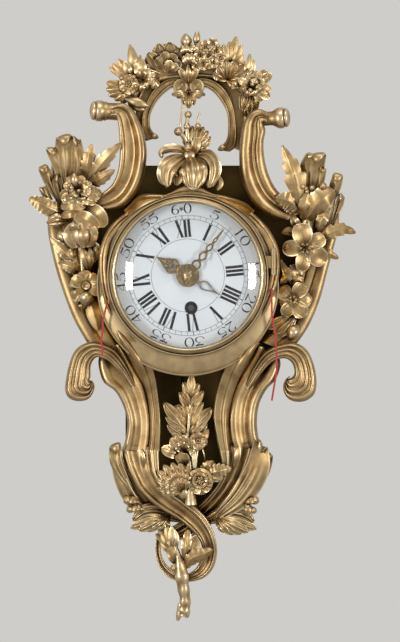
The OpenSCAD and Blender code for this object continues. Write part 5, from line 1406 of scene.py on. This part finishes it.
    def cluster(self, spray: Casting) -> None:
        """Ragged petals and berries between the acanthus and the open flower.

        Args:
            spray: the spray's casting.
        """
        for spine, width in (([(304, 222, 48), (313, 209, 57), (323, 199, 60), (333, 191, 55)], 25),
                             ([(304, 222, 48), (303.5, 208, 57), (307, 194, 57)], 13),
                             ([(328, 206, 50), (322, 218, 56), (317, 231, 52)], 12)):
            spray.leaf(
                spine, width, 5, cut=0.1, camber=0.3, vein=0.2, ruffle=0.8, waves=2, belly=1.2, tip=0.35)
        for u, v, r in ((302, 188, 2.8), (311, 189, 2.8), (306, 193, 2.2), (322, 187, 3.6)):
            spray.bead((u, v, 57), r)
        spray.leaf([(300, 230, 44), (294, 222, 49), (291, 214, 48)], 9)
        spray.leaf([(298, 234, 43), (288, 232, 46), (281, 234, 45)], 9)
        spray.leaf([(314, 240, 46), (328, 234, 52), (342, 230, 52), (354.5, 233.5, 49)], 16, 4, cut=0.3)

    def open_flower(self, spray: Casting) -> None:
        """A large flower of five spoon petals with stamens.

        Args:
            spray: the spray's casting.
        """
        u, v, z = self.right_heart
        for angle, long, wide in (
                (101, 24, 20), (184, 22, 16), (-98, 24, 14.5), (-36, 25, 19.5), (28, 22, 16)):
            spray.petal(self.right_heart, angle, long, wide, 4.5, 1.5, camber=-0.3, thick=1.7, belly=1.15)
        for turn in round_turn(6):
            end = (u + 4.5 * math.cos(turn), v + 1 + 4.5 * math.sin(turn), z + 7)
            spray.stalk([(u, v, z + 1), end], (0.8, 0.7), 0, 8)
            spray.bead(end, 1.3)
        spray.leaf([(316, 252, 46), (327, 254, 50), (337.5, 259, 46)], 11, 3, cut=0.3)

    def right_lower(self, spray: Casting) -> None:
        """Small toothed leaves, the lower flower, and fluted leaves and a bud at the end.

        Args:
            spray: the spray's casting.
        """
        spray.leaf([(302, 264, 44), (292, 272, 50), (280, 284, 47)], 14, 5, cut=0.28)
        spray.leaf([(300, 268, 44), (297, 278, 50), (294, 288, 47)], 11, 4, cut=0.28)
        spray.leaf([(294, 286, 44), (286, 273, 48), (280, 260, 46)], 7)
        u, v, z = self.lower_heart
        for angle, long, wide in (
                (140, 17, 16), (55, 19, 15), (0, 18, 15), (-55, 20, 16), (-118, 18, 13), (195, 13, 11)):
            spray.petal(self.lower_heart, angle, long, wide, 3.5, 0, flutes=2, vein=0.35)
        for i in range(5):
            spray.bead((u + 3 * math.cos(1.26 * i), v + 3 * math.sin(1.26 * i), z + 6), 1.5)
        spray.fan((296, 314, 45), [(268, 328, 46), (274, 333, 47), (280, 336, 47)], 11, flutes=2, vein=0.8)
        spray.drop((297, 324, 46), (288, 340, 47), 6.5, 4)


@dataclass
class LowerOrnament:
    """The bouquet between the legs, the acanthus outside them and the sprig at the foot."""

    calyx: Row = (185, 491, 49)
    daisy_heart: Row = (200, 479, 53)
    oak_leaves: Sequence[tuple[Row, Rows]] = (  # root of each leaf, then the end and width of its lobes
        ((190.5, 399), ((191.5, 375, 9), (184, 382.5, 8), (198.5, 384, 8))),
        ((190, 411), ((180.5, 392.5, 8.5), (202.5, 391, 8.5), (184, 390, 7), (198, 392, 7))),
        ((189, 424), ((178.5, 404.5, 8), (202.5, 402, 8), (184, 402, 7), (196, 402, 7))),
        ((185, 428), ((164.5, 402.5, 11), (176, 405.5, 9), (166.5, 416, 10), (179, 412, 8))),
        ((187, 438), ((168, 424, 10), (172, 431, 9), (178, 422, 9))),
        ((193, 429), ((211, 408, 11), (198, 407.5, 9), (207, 417, 10), (197, 414, 8))),
        ((191, 439), ((206, 424, 10), (203, 431, 9), (197, 423, 9))))

    def bouquet(self) -> None:
        """Oak-cut leaves, ruffled flowers, a carnation, a daisy and thin stems."""
        bouquet = Casting()
        bouquet.stalk([(191, 504, 50), (190, 488, 48), (189, 462, 44), (188, 430, 42)], (6, 5, 3.5, 3), 0.05)
        bouquet.stalk([(190, 488, 4), (190, 488, 24), (190, 488, 44)], (5, 5, 5))
        bouquet.stalk([(188, 442, 42), (189.5, 412, 44), (191, 386, 42)], (2.4, 1.8, 0.8))
        for root, tips in self.oak_leaves:
            for u, v, width in tips:
                middle = (0.5 * (u + root[0]), 0.5 * (v + root[1]), 46)
                bouquet.leaf([(*root, 43.5), middle, (u, v, 45)], width, camber=0.1, vein=0.6, rib=0.3,
                             belly=1.35, tip=0.55, flutes=2)
        bouquet.fan(
            (184, 452, 45), [(169, 443, 49), (171, 437, 50), (177, 434, 51), (184, 434, 51), (190, 437, 50),
                             (193, 445, 49)], 11, ruffle=0.9, waves=2.5, camber=-0.1)
        bouquet.fan((184, 450, 48), [(175, 443, 54), (181, 440, 55), (187, 442, 54)], 8, 2, ruffle=0.6,
                    camber=-0.15)
        bouquet.blossom((198, 440, 48), 8.5, 6, 40, 2, -0.5, beads=6)
        bouquet.fan((200, 446, 45), [(204, 432, 48), (208, 428, 47), (207, 438, 48)], 7)
        for k in range(4):
            bouquet.stalk([(199 - 3 * k, 444, 47), (197 - 1.6 * k, 455, 48), (196 - 0.8 * k, 467, 47)],
                          (0.9, 0.9, 0.9), 0, 8)
        bouquet.stalk([(202, 446, 46), (204, 453, 47), (205, 460, 45)], (0.9, 0.8, 0.6), 0, 8)
        bouquet.leaf([(182, 454, 45), (172, 451, 50), (162, 447, 47)], 12, camber=-0.12, belly=1.2, tip=0.45)
        bouquet.fan((186, 464, 46), [(176, 454, 50), (180, 451, 51), (185, 452, 51)], 8, 2, camber=-0.1)
        self.carnation(bouquet)
        self.daisy(bouquet)
        bouquet.leaf([(204, 474, 48), (217, 470, 54), (231.5, 467, 51)], 17, 6, cut=0.26, vein=0.6)
        bouquet.leaf([(200, 470, 48), (207, 464, 53), (214, 460, 50)], 9, 4, cut=0.26)
        bouquet.leaf([(204, 476, 48), (214, 477, 53), (224, 476, 50)], 9, 4, cut=0.26)
        bouquet.cast("centre_bouquet")

    def carnation(self, bouquet: Casting) -> None:
        """A carnation from its side: layers of frilled petals that fan up from the calyx.

        Args:
            bouquet: the bouquet's casting.
        """
        cu, cv, _ = self.calyx
        rim = [(157.5, 487, 50), (156.5, 478, 51), (158, 470, 52), (164, 464, 52), (172, 461.5, 52),
               (180, 462, 52), (187, 465, 51)]
        for share, rise in ((1, 0), (0.82, 2.5), (0.62, 4.5)):
            tips = [(cu + share * (u - cu), cv + share * (v - cv), z + rise) for u, v, z in rim]
            bouquet.fan(
                self.calyx, tips, 13 * share, 3 + rise, lobes=5, cut=0.2, vein=0.3, flutes=3, ruffle=0.8)
        bouquet.drop((178, 484, 49), (190, 498, 49), 6, 4)

    def daisy(self, bouquet: Casting) -> None:
        """A round flower of scalloped petals with a beaded heart.

        Args:
            bouquet: the bouquet's casting.
        """
        u, v, z = self.daisy_heart
        bouquet.blossom((u, v + 1, z - 2), 13, 8, 10, 2.5, 0.5, width=1.25, beads=0, thick=1.3)
        bouquet.blossom(self.daisy_heart, 8, 7, 30, 2, -1, width=1.2, beads=0)
        for i in range(12):
            reach = 1.1 * math.sqrt(i)
            bouquet.bead((u + reach * math.cos(2.4 * i), v + reach * math.sin(2.4 * i), z + 4), 1.1)

    def acanthus(self) -> None:
        """Leaves that wrap the outside of each leg and spread at its foot."""
        frond = Casting()
        frond.stalk([(141, 505, 4), (141, 505, 18), (143, 505, 32)], (9, 9, 8))
        frond.leaf([(168, 522, 27), (150, 510, 33), (136, 495, 39), (126, 476, 44), (120, 460, 46),
                    (116.5, 449, 45)], 24, flutes=3, vein=1, camber=0.35, belly=0.9, tip=0.4, thick=1.8)
        frond.tongue([(136, 493, 38), (124, 475, 46), (117.5, 460, 50), (116, 446, 50)], 14, 3, 3)
        frond.tongue([(148, 507, 34), (138, 501, 40), (132, 499.5, 41)], 8, 2.4, 1)
        frond.tongue([(152, 511, 34), (142, 508, 39), (135, 507.5, 40)], 8, 2.2, 1)
        for u, v, r in ((128, 499, 4.4), (130.5, 508, 3.8), (139, 506, 3)):
            frond.bead((u, v, 43), r)
        frond.leaf([(184, 520, 25), (162, 511, 34), (146, 511, 38), (134, 519, 37)], 16, flutes=3, vein=0.9,
                   belly=1.15, tip=0.4)
        frond.fan((170, 514, 30), [(131.5, 526.5, 37), (140, 529, 38.5), (148, 529.5, 38), (155.5, 528, 37),
                                   (162, 526.5, 36)], 10, 5, flutes=2, vein=0.6, belly=1.7, tip=0.38)
        frond.fan((176, 549, 29), [(155.5, 533, 32), (158, 526, 33), (164, 522.5, 34), (170, 523, 34),
                                   (174, 528, 34)], 6.5, 2)
        frond.cast("left_acanthus")
        frond = Casting()
        frond.stalk([(235, 504, 4), (235, 504, 18), (233, 505, 32)], (9, 9, 8))
        frond.tongue([(206, 524, 28), (222, 512, 36), (238, 498, 43), (250, 481, 49), (257.5, 465, 52.5),
                      (260, 446, 53)], 25, 2.4, 4)
        frond.tongue([(240, 502, 36), (255, 486, 42), (265, 468, 44.5), (268.5, 455, 45)], 10, 2.2, 1)
        frond.tongue([(236, 507, 34), (246, 501, 40), (251, 499.5, 41)], 8, 2.4, 1)
        frond.tongue([(232, 511, 34), (243, 508, 39), (249, 508, 40)], 8, 2.2, 1)
        for u, v, r in ((254.5, 499, 4.4), (247, 505, 3.4), (253, 509, 3.6)):
            frond.bead((u, v, 43), r)
        frond.leaf([(202, 522, 28), (224, 513, 35), (241, 513.5, 38), (253, 520.5, 37)], 16, flutes=3,
                   vein=0.9, belly=1.15, tip=0.4)
        frond.fan(
            (215, 515, 31), [(255.5, 527.5, 37), (247.5, 530.5, 38.5), (240, 532.5, 38), (232.5, 533, 37),
                             (225.5, 531, 36)], 10, 5, flutes=2, vein=0.6, belly=1.7, tip=0.38)
        frond.cast("right_acanthus")

    def sprig(self) -> None:
        """Split stem and leaves that hang through the knot's ring."""
        sprig = Casting()
        sprig.stalk([(171.5, 530, 37), (175, 545, 39), (179.5, 560, 40), (182, 574, 40), (184, 588, 39),
                     (185, 600, 38), (184, 609, 37), (183, 614, 36.5)],
                    (1.6, 2.8, 4.6, 6.6, 5.8, 5.4, 5.6, 4.4), 0.13, 18)
        sprig.stalk([(186, 602, 37), (187, 610, 37), (186.8, 616, 36.5)], (4, 3.4, 1.8), 0.1)
        sprig.stalk([(182, 602, 37), (179.5, 612, 36.5), (177.5, 619, 36)], (4, 3.2, 1.4), 0.1)
        sprig.leaf([(179, 564, 37), (172, 554, 43), (169.5, 542, 40)], 9, camber=-0.2, belly=1.1, tip=0.5)
        sprig.fan((174, 553, 37), [(161, 541, 40), (161.5, 532, 41), (166, 525.5, 42), (171.5, 525, 43),
                                   (176, 530, 42)], 8)
        sprig.leaf([(184, 562, 38), (186, 546, 44), (188, 528.5, 42)], 11, 4, cut=0.25, vein=0.3, belly=1.2,
                   tip=0.5)
        sprig.leaf([(185, 562, 38), (193, 548, 43), (196, 534.5, 41)], 11, camber=-0.15, belly=1.2, tip=0.45)
        sprig.leaf([(183, 568, 38), (192, 557, 45), (202, 553, 47), (212.5, 548, 45)], 16, 5, cut=0.25,
                   vein=0.4, belly=1.1, tip=0.55)
        sprig.fan((182, 576, 38), [(171, 566, 41), (174, 562, 42)], 7, 2)
        sprig.bead((173.5, 566.5, 41), 3.4)
        sprig.cast("tail_sprig")


# Dial, hands, bezel and movement.


DIAL_RADIUS = 61.0
DIAL_RIM = 68.0  # level of the dial's face at its rim, in millimetres from the wall
DIAL_DOME = 2.0  # how far its middle stands out past its rim


def dial_level(r: float) -> float:
    """Level of the domed dial's face at a radius, in millimetres from the wall."""
    return DIAL_RIM + DIAL_DOME * (1 - (r / DIAL_RADIUS) ** 2)


@dataclass
class Ink:
    """Thin black strokes fired onto the dial."""

    rise: float = 0.09  # how far a stroke stands out of the dial
    root: float = 0.12  # how far it goes into the dial
    casting: Casting = field(default_factory=Casting)

    def on_dial(self, p: np.ndarray) -> np.ndarray:
        """Flat places on the dial, turned with it and set on its dome.

        Args:
            p: rows of x, y in millimetres.
        Returns:
            Rows of x, y and distance from the wall.
        """
        c, s = math.cos(DIAL_TURN), math.sin(DIAL_TURN)
        x, y = p[:, 0] * c - p[:, 1] * s, p[:, 0] * s + p[:, 1] * c
        level = np.array([dial_level(r) for r in np.hypot(x, y)])
        return np.stack([x, y, level + self.rise], axis=1)

    def stroke(self, line: Rows, thick: float, thin: float = 0.0, steep: Optional[float] = None) -> None:
        """A pen stroke: thick where it runs upright, thin where it runs across.

        Args:
            line: x, y places on the dial.
            thick: width along the pen's heavy way.
            thin: width along its light way.
            steep: direction of the heavy way, in radians; None for an even stroke of the thick width.
        """
        p = np.asarray(line, dtype=float)
        way = np.gradient(p, axis=0)
        way /= np.maximum(np.linalg.norm(way, axis=1), 1e-9)[:, None]
        side = np.stack([-way[:, 1], way[:, 0]], axis=1)
        if steep is None:
            wide = np.full(len(p), thick)
        else:
            wide = thin + (thick - thin) * np.abs(way @ np.array([math.cos(steep), math.sin(steep)])) ** 2
        half = side * wide[:, None] / 2
        a, b = self.on_dial(p + half), self.on_dial(p - half)
        drop = np.array([0, 0, self.rise + self.root])
        self.casting.grid(np.stack([b, a, a - drop, b - drop], axis=1))


@dataclass
class DialWork:
    """Enamel dial with its circles, hour and minute numerals, and the winding hole's rim."""

    circle_r: float = 30.0
    hour_in: float = 31.5
    hour_out: float = 45.6
    hour_heavy: float = 2.2
    hour_light: float = 0.36
    hour_foot: float = 0.28
    track_in: float = 46.3
    track_out: float = 49.4
    minute_in: float = 50.9
    minute_h: float = 7.9
    minute_light: float = 0.3
    star_arm: float = 1.9
    line: float = 0.26
    winding_r: float = 26.7  # from the dial's centre to the winding hole's

    def build(self) -> None:
        """Dial finish, inked lines and numerals, and the rim of the winding hole."""
        repaint("enamel_dial", ENAMEL)
        ink = Ink()
        for r in (self.circle_r, self.track_in, self.track_out):
            a = np.linspace(0, 2 * math.pi, 181)
            ink.stroke(np.stack([r * np.cos(a), r * np.sin(a)], axis=1), self.line)
        for i in range(60):
            a = math.pi / 2 - i * math.pi / 30
            ends = np.linspace(self.track_in, self.track_out, 3)
            ink.stroke(np.outer(ends, (math.cos(a), math.sin(a))), self.line * (2.2 if i % 5 == 0 else 1.0))
        for hour, word in enumerate(
                ("XII", "I", "II", "III", "IIII", "V", "VI", "VII", "VIII", "IX", "X", "XI")):
            self.roman(ink, word, math.radians(30 * hour))
        for k in range(1, 13):
            self.minute(ink, str(5 * k), math.radians(30 * k))
        ink.casting.make("dial_numerals", BLACK, "case", (), "enamel", 60.0)
        self.winding_rim()

    def winding_rim(self) -> None:
        """The rim of the winding hole, black: a dark rim, and painted shade round the hole."""
        x, y = self.winding_r * math.sin(DIAL_TURN), -self.winding_r * math.cos(DIAL_TURN)
        foot, level = 66.4, dial_level(self.winding_r)
        rim = Casting()
        rim.turned((DIAL_U + x / DRAWING_UNIT, DIAL_V - y / DRAWING_UNIT, 0), (0, 0, 1), [
            (4.62, foot), (4.62, level + 0.35), (4.9, level + 0.5), (5.3, level + 0.35), (5.4, level - 0.1),
            (5.0, foot)], 48, True)
        rim.make("winding_hole_rim", BLACK, "case", (), "steel")

    def local(self, angle: float, r: float, x: np.ndarray, y: np.ndarray) -> np.ndarray:
        """Places on the dial from a figure's own across and up.

        Args:
            angle: the figure's direction, in radians clockwise from XII.
            r: radius of its foot; its top is outward.
            x: places across it.
            y: places up it.
        Returns:
            Rows of x, y on the dial.
        """
        out = np.array([math.sin(angle), math.cos(angle)])
        over = np.array([math.cos(angle), -math.sin(angle)])
        return np.outer(r + np.asarray(y, dtype=float), out) + np.outer(x, over)

    def roman(self, ink: Ink, word: str, angle: float) -> None:
        """An hour numeral: heavy and light straight strokes with hairline feet.

        Args:
            ink: the ink it is drawn in.
            word: the numeral.
            angle: its direction, in radians clockwise from XII.
        """
        heavy, light, tall = self.hour_heavy, self.hour_light, self.hour_out - self.hour_in
        step = {"I": 3.2, "V": 6.6, "X": 6.6}
        x = -sum(step[c] for c in word) / 2
        up = np.linspace(0, 1, 5)
        for c in word:
            half = step[c] / 2
            mid = x + half
            if c == "I":
                strokes = [(mid, mid, heavy)]
            elif c == "V":
                strokes = [(mid + 0.2, mid - half * 0.62, heavy), (mid, mid + half * 0.66, light)]
            else:
                lean = half * 0.62
                strokes = [(mid + lean, mid - lean, heavy), (mid - lean, mid + lean, light)]
            for low, high, w in strokes:
                ink.stroke(self.local(angle, self.hour_in, low + (high - low) * up, tall * up), w)
                for end, level in ((low, 0.0), (high, tall)):
                    if c == "V" and level == 0.0:
                        continue
                    across = end + np.linspace(-1, 1, 3) * (w / 2 + 0.45)
                    ink.stroke(self.local(angle, self.hour_in, across, np.full(3, level)), self.hour_foot)
            x += step[c]

    def figure(self, digit: str) -> list[tuple[Pen, np.ndarray]]:
        """Strokes of a minute figure, in a box about 0.6 wide and 1 tall.

        Args:
            digit: the digit.
        Returns:
            Pen and line of each stroke.
        """
        def arc(cx: float, cy: float, rx: float, ry: float, a0: float, a1: float) -> np.ndarray:
            """Part of an ellipse, between two angles in degrees."""
            a = np.radians(np.linspace(a0, a1, 25))
            return np.stack([cx + rx * np.cos(a), cy + ry * np.sin(a)], axis=1)

        def run(*points: Row) -> np.ndarray:
            """Smooth line through points."""
            return smooth_rows(points, 6)

        shapes = {
            "0": [(Pen.SHADED, arc(0.32, 0.5, 0.3, 0.5, 0, 360))],
            "1": [(Pen.HAIR, run((0.16, 0.8), (0.22, 0.86), (0.3, 1.0))),
                  (Pen.SHADED, run((0.3, 1.0), (0.3, 0.5), (0.3, 0.0))),
                  (Pen.HAIR, run((0.16, 0.0), (0.3, 0.0), (0.44, 0.0)))],
            "2": [(Pen.SHADED, arc(0.3, 0.72, 0.26, 0.28, 170, -30)),
                  (Pen.HAIR, run((0.53, 0.58), (0.3, 0.3), (0.05, 0.03))),
                  (Pen.FLAG, run((0.05, 0.05), (0.3, 0.07), (0.6, 0.02)))],
            "3": [(Pen.FLAG, run((0.04, 0.86), (0.3, 0.84), (0.58, 0.9))),
                  (Pen.HAIR, run((0.56, 0.88), (0.4, 0.74), (0.26, 0.6))),
                  (Pen.SHADED, arc(0.26, 0.3, 0.31, 0.3, 92, -165))],
            "4": [(Pen.SHADED, run((0.44, 1.0), (0.44, 0.5), (0.44, 0.0))),
                  (Pen.HAIR, run((0.44, 1.0), (0.22, 0.66), (0.02, 0.32))),
                  (Pen.HAIR, run((0.02, 0.32), (0.3, 0.32), (0.62, 0.32)))],
            "5": [(Pen.FLAG, run((0.14, 0.87), (0.34, 0.85), (0.6, 0.91))),
                  (Pen.HAIR, run((0.14, 0.88), (0.11, 0.7), (0.08, 0.53))),
                  (Pen.SHADED, arc(0.27, 0.3, 0.31, 0.3, 130, -160))],
            "6": [(Pen.SHADED, run((0.52, 0.98), (0.26, 0.9), (0.08, 0.66), (0.02, 0.4), (0.06, 0.16),
                                   (0.2, 0.02))),
                  (Pen.SHADED, arc(0.32, 0.28, 0.28, 0.28, -120, 170))],
        }
        return shapes[digit]

    def minute(self, ink: Ink, word: str, angle: float) -> None:
        """A minute figure, with a small star between the digits of the last.

        Args:
            ink: the ink it is drawn in.
            word: its digits.
            angle: its direction, in radians clockwise from XII.
        """
        pitch, gap = (0.69, 4.8) if word == "60" else (0.88, 1.3)
        size = self.minute_h
        wide = len(word) * pitch * size + (len(word) - 1) * gap
        x = -wide / 2
        for digit in word:
            for pen, line in self.figure(digit):
                places = self.local(
                    angle, self.minute_in, x + line[:, 0] * size * pitch / 0.62, line[:, 1] * size)
                steep = math.pi / 2 - angle if pen is Pen.SHADED else None
                ink.stroke(places, pen.value, self.minute_light, steep)
            x += pitch * size + gap
        if word == "60":
            for k in range(3):
                a = math.pi * k / 3
                t = np.linspace(-1, 1, 3) * self.star_arm
                ink.stroke(
                    self.local(angle, self.minute_in + size * 0.5, t * math.sin(a), t * math.cos(a)), 0.7)


def repaint(node: str, finish: Finish) -> None:
    """Give a solid of the frame its finish.

    Args:
        node: the solid's name.
        finish: the finish.
    """
    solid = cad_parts[node]
    solid.data.materials.clear()
    solid.data.materials.append(finish.material())
    LOG.info("finished %s", node)


@dataclass
class Hands:
    """The pierced gilt hour and minute hands, the steel alarm hand and the collet."""

    hour_at: float = 306.4  # where each hand points, in degrees clockwise from XII on the turned dial
    minute_at: float = 43.6
    alarm_at: float = 127.0
    hour_level: float = 72.4  # distance of each hand's back from the wall
    minute_level: float = 74.2
    alarm_level: float = 71.0
    thick: float = 0.8
    bevel: float = 0.12
    hour_side: Rows = (
        (3.0, 9.6), (4.6, 11.2), (6.4, 13.6), (6.6, 15.6), (5.2, 18.4), (4.6, 20), (3.2, 22.4), (2.0, 24.6),
        (1.2, 27), (0.0, 30))
    minute_side: Rows = (
        (1.5, 6.2), (2.8, 8), (3.9, 10.6), (3.5, 13.2), (1.6, 15.4), (1.5, 16.4), (3.1, 18.6), (3.3, 20.6),
        (2.4, 23), (1.3, 24.6), (1.4, 26), (2.5, 28), (2.5, 30), (1.5, 32.2), (0.9, 34), (1.5, 36), (1.4, 38),
        (0.9, 40), (0.7, 44), (0.0, 49))
    alarm_side: Rows = (
        (0.9, 6.4), (0.8, 9.6), (1.4, 11.4), (3.2, 13.4), (3.9, 15.6), (3.5, 18), (2.4, 21), (1.3, 24),
        (0.8, 26.5), (0.0, 31))
    alarm_eye: Rows = (
        (0.0, 12.4), (1.6, 13.4), (2.7, 15.2), (2.6, 17.4), (1.6, 20.4), (0.7, 23), (0.0, 24.4))

    def hand(self, node: str, outlines: Sequence[Rows], angle: float, level: float, finish: Finish, body: str) -> None:
        """A flat pierced hand.

        Args:
            node: the solid it stands for.
            outlines: closed outlines pointing up, the first the outside, the others holes.
            angle: where it points, in degrees clockwise from XII on the turned dial.
            level: its back's distance from the wall.
            finish: its finish.
            body: the body it rides on.
        """
        name = f"{node}_pierced"
        curve = bpy.data.curves.new(name, "CURVE")
        curve.dimensions = "2D"
        curve.fill_mode = "BOTH"
        curve.extrude = self.thick / 2 - self.bevel
        curve.bevel_depth = self.bevel
        curve.bevel_resolution = 2
        for outline in outlines:
            line = curve.splines.new("POLY")
            line.points.add(len(outline) - 1)
            for point, (x, y) in zip(line.points, outline):
                point.co = (x, y, 0, 1)
            line.use_cyclic_u = True
        holder = put(f"{name}_outline", curve)
        mesh = bpy.data.meshes.new_from_object(holder.evaluated_get(bpy.context.evaluated_depsgraph_get()))
        bpy.data.objects.remove(holder)
        turn = DIAL_TURN - math.radians(angle)
        c, s = math.cos(turn), math.sin(turn)
        for vert in mesh.vertices:
            x, y, z = vert.co
            vert.co = part_point(x * c - y * s, x * s + y * c, level + self.thick / 2 + z)
        mesh.name = name
        dress(put(name, mesh), finish, body, [node], 35.0)

    def hub(self, radius: float, neck: float, count: int) -> list[tuple[float, float]]:
        """Right half of a hub's edge, from its foot until neck radians short of its top."""
        return [
            (radius * math.sin(a), -radius * math.cos(a)) for a in np.linspace(0.02, math.pi - neck, count)]

    def mirrored(self, half: Rows) -> list[tuple[float, float]]:
        """Smooth closed outline from its right half, bottom to top."""
        right = smooth_rows(half, 5)
        return [(x, y) for x, y in right] + [(-x, y) for x, y in right[::-1] if x > 1e-3]

    def oval(self, x: float, y: float, rx: float, ry: float, lean: float = 0.0) -> list[tuple[float, float]]:
        """An oval outline.

        Args:
            x: its centre across the hand.
            y: its centre along the hand.
            rx: half its width.
            ry: half its height.
            lean: how far it leans, in degrees.
        Returns:
            Its points.
        """
        c, s = math.cos(math.radians(lean)), math.sin(math.radians(lean))
        edge = [(rx * math.cos(a), ry * math.sin(a)) for a in round_turn(24)]
        return [(x + p * c - q * s, y + p * s + q * c) for p, q in edge]

    def build(self) -> None:
        """The three hands and the collet with its taper pin."""
        self.hand("hour_hand", [
            self.mirrored([*self.hub(9.4, 0.24, 22), *self.hour_side]),
            self.oval(0, 0, 3.06, 3.06), self.oval(0, 12.2, 1.0, 1.5),
            self.oval(-3.2, 14.6, 1.3, 2.1, 28), self.oval(3.2, 14.6, 1.3, 2.1, -28),
            self.oval(0, 17.6, 0.9, 2.4), self.oval(-2.3, 19.4, 0.6, 1.5, 14),
            self.oval(2.3, 19.4, 0.6, 1.5, -14), self.oval(0, 23, 0.6, 1.6),
        ], self.hour_at, self.hour_level, GILT_CHASED, "hour_group")
        self.hand("minute_hand", [
            self.mirrored([*self.hub(5.0, 0.5, 16), *self.minute_side]),
            self.oval(0, 0, 2.16, 2.16), self.oval(0, 10.8, 2.5, 3.1), self.oval(0, 20, 1.9, 3.0),
            self.oval(0, 29, 1.35, 2.4), self.oval(0, 36.8, 0.55, 1.6),
        ], self.minute_at, self.minute_level, GILT_CHASED, "minute_group")
        self.hand("alarm_hand", [
            self.mirrored([*self.hub(5.5, 0.2, 16), *self.alarm_side]),
            self.oval(0, 0, 3.06, 3.06), self.mirrored(self.alarm_eye),
        ], self.alarm_at, self.alarm_level, POLISHED, "alarm_setting")
        pin = Casting()
        turn = DIAL_TURN - math.radians(self.minute_at)
        way = (-math.sin(turn), math.cos(turn), 0.0)
        pin.turned((DIAL_U, DIAL_V, 77.0), way, [(0.1, -4.6), (0.45, -4.5), (0.75, 4.5), (0.2, 4.7)], 16)
        pin.make("hand_collet_pin", GILT, "centre", ["hand_collet"], "gilt_bronze")
        collet = Casting()
        face = self.minute_level + self.thick + 0.1
        collet.turned(
            (DIAL_U, DIAL_V, face), (0, 0, 1), [(1.25, 0), (3.2, 0), (3.2, 0.6), (2.6, 1.0), (1.25, 1.05)],
            40, True)
        collet.make("hand_collet_turned", GILT_CHASED, "centre", ["hand_collet"], "gilt_bronze")


@dataclass
class BezelDoor:
    """The hinged bezel ring, its glass and its knuckles."""

    inner: float = 59.5
    outer: float = 66.5
    rebate: float = 61.4  # radius of the step that the glass sits in
    back: float = 72.6  # distance of the ring's back from the wall
    step: float = 5.0  # height of the glass's step over the ring's back
    rise: float = 13.0  # how far the glass is domed
    thick: float = 1.6  # its thickness

    def build(self) -> None:
        """Ring with stepped mouldings, domed glass, and the hinge's finishes."""
        i, o = self.inner, self.outer
        profile = [
            (self.rebate, 0), (o - 0.2, 0), (o, 0.3), (o, 5.6), (o - 0.2, 6.5), (o - 0.6, 7.0),
            (o - 1.1, 7.0), (o - 1.45, 6.6), (o - 1.6, 6.0), (o - 1.8, 6.1), (o - 1.95, 7.2),
            (o - 2.3, 8.3), (o - 2.9, 9.2), (o - 3.6, 9.8), (o - 4.1, 10.0), (i + 2.6, 10.5),
            (i + 2.1, 10.9), (i + 1.6, 10.9), (i + 1.1, 10.5), (i + 0.7, 9.6), (i + 0.4, 8.4),
            (i + 0.1, 6.8), (i, 5.6), (i + 0.1, self.step), (self.rebate, self.step)]
        ring = Casting()
        ring.turned((DIAL_U, DIAL_V, self.back), (0, 0, 1), profile, 220, True)
        ring.make("bezel_ring", GILT_TURNED, "bezel_door", ["bezel"])
        edge, middle = self.rebate - 0.1, 0.05
        dome = np.linspace(0, math.pi / 2, 40)
        outside = [((i - 0.3) * math.cos(t), self.rise * math.sin(t) ** 2) for t in dome]
        inside = [((i - 0.6) * math.cos(t), self.rise * math.sin(t) ** 2 - self.thick) for t in dome[::-1]]
        crown = [(middle, self.rise), (middle, self.rise - self.thick)]
        pane = [(edge, -self.thick), (edge, 0), *outside[:-1], *crown, *inside[1:]]
        glass = Casting()
        glass.turned((DIAL_U, DIAL_V, self.back + self.step - 0.1), (0, 0, 1), pane, 160, True)
        glass.make("domed_glass", GLASS, "bezel_door", ["glass"], "glass", 30.0)
        # The hinge's knuckles take the darker copy of the gilt, as painted shade.
        for node in ("bezel_knuckle", "hinge_knuckles"):
            repaint(node, GILT_SHADED)
        repaint("hinge_pin", STEEL)


@dataclass
class Movement:
    """The works and the plain pieces behind the case, which keep their solids."""

    brass: Sequence[str] = (
        "drum", "cord_eyelets", "front_movement_plate", "rear_movement_plate", "plate_pillars",
        "movement_posts", "suspension_cock", "bell_and_hammer_posts", "pulley_brackets", "centre_wheel",
        "hour_wheel", "minute_wheel", "barrel", "third_wheel", "escape_wheel", "pendulum_bob",
        "repeat_pulley", "alarm_pulley")
    steel: Sequence[str] = (
        "hanger_strap", "screws", "cannon_pinion", "centre_arbor", "mainspring", "pallets",
        "repeat_hammer", "alarm_hammer")
    blued: Sequence[str] = ("ratchet_wheel", "click", "pendulum_rod")

    def build(self) -> None:
        """Finish every solid that shows as it is."""
        for nodes, finish in ((self.brass, BRASS), (self.steel, STEEL), (self.blued, BLUED)):
            for node in nodes:
                repaint(node, finish)
        # The winding arbor: darker steel, partly painted shade.
        repaint("winding_arbor", SHADED_STEEL)
        repaint("bell", BELL)
        repaint("back_plate", SHEET)


def main() -> None:
    """Build the scene: camera and cords, then the case, its ornament, the dial and the works."""
    logging.basicConfig(level=logging.INFO)
    bpy.context.scene.view_settings.view_transform = "Standard"
    studio = Studio()
    studio.camera()
    PullCords().build()
    CaseFrame().build()
    crest = Crest()
    crest.arch()
    crest.garland()
    Iris().build()
    sprays = SideSprays()
    sprays.left()
    sprays.right()
    lower = LowerOrnament()
    lower.bouquet()
    lower.acanthus()
    lower.sprig()
    DialWork().build()
    Hands().build()
    BezelDoor().build()
    Movement().build()
    studio.light()
    studio.floor()


if __name__ == "__main__":
    main()
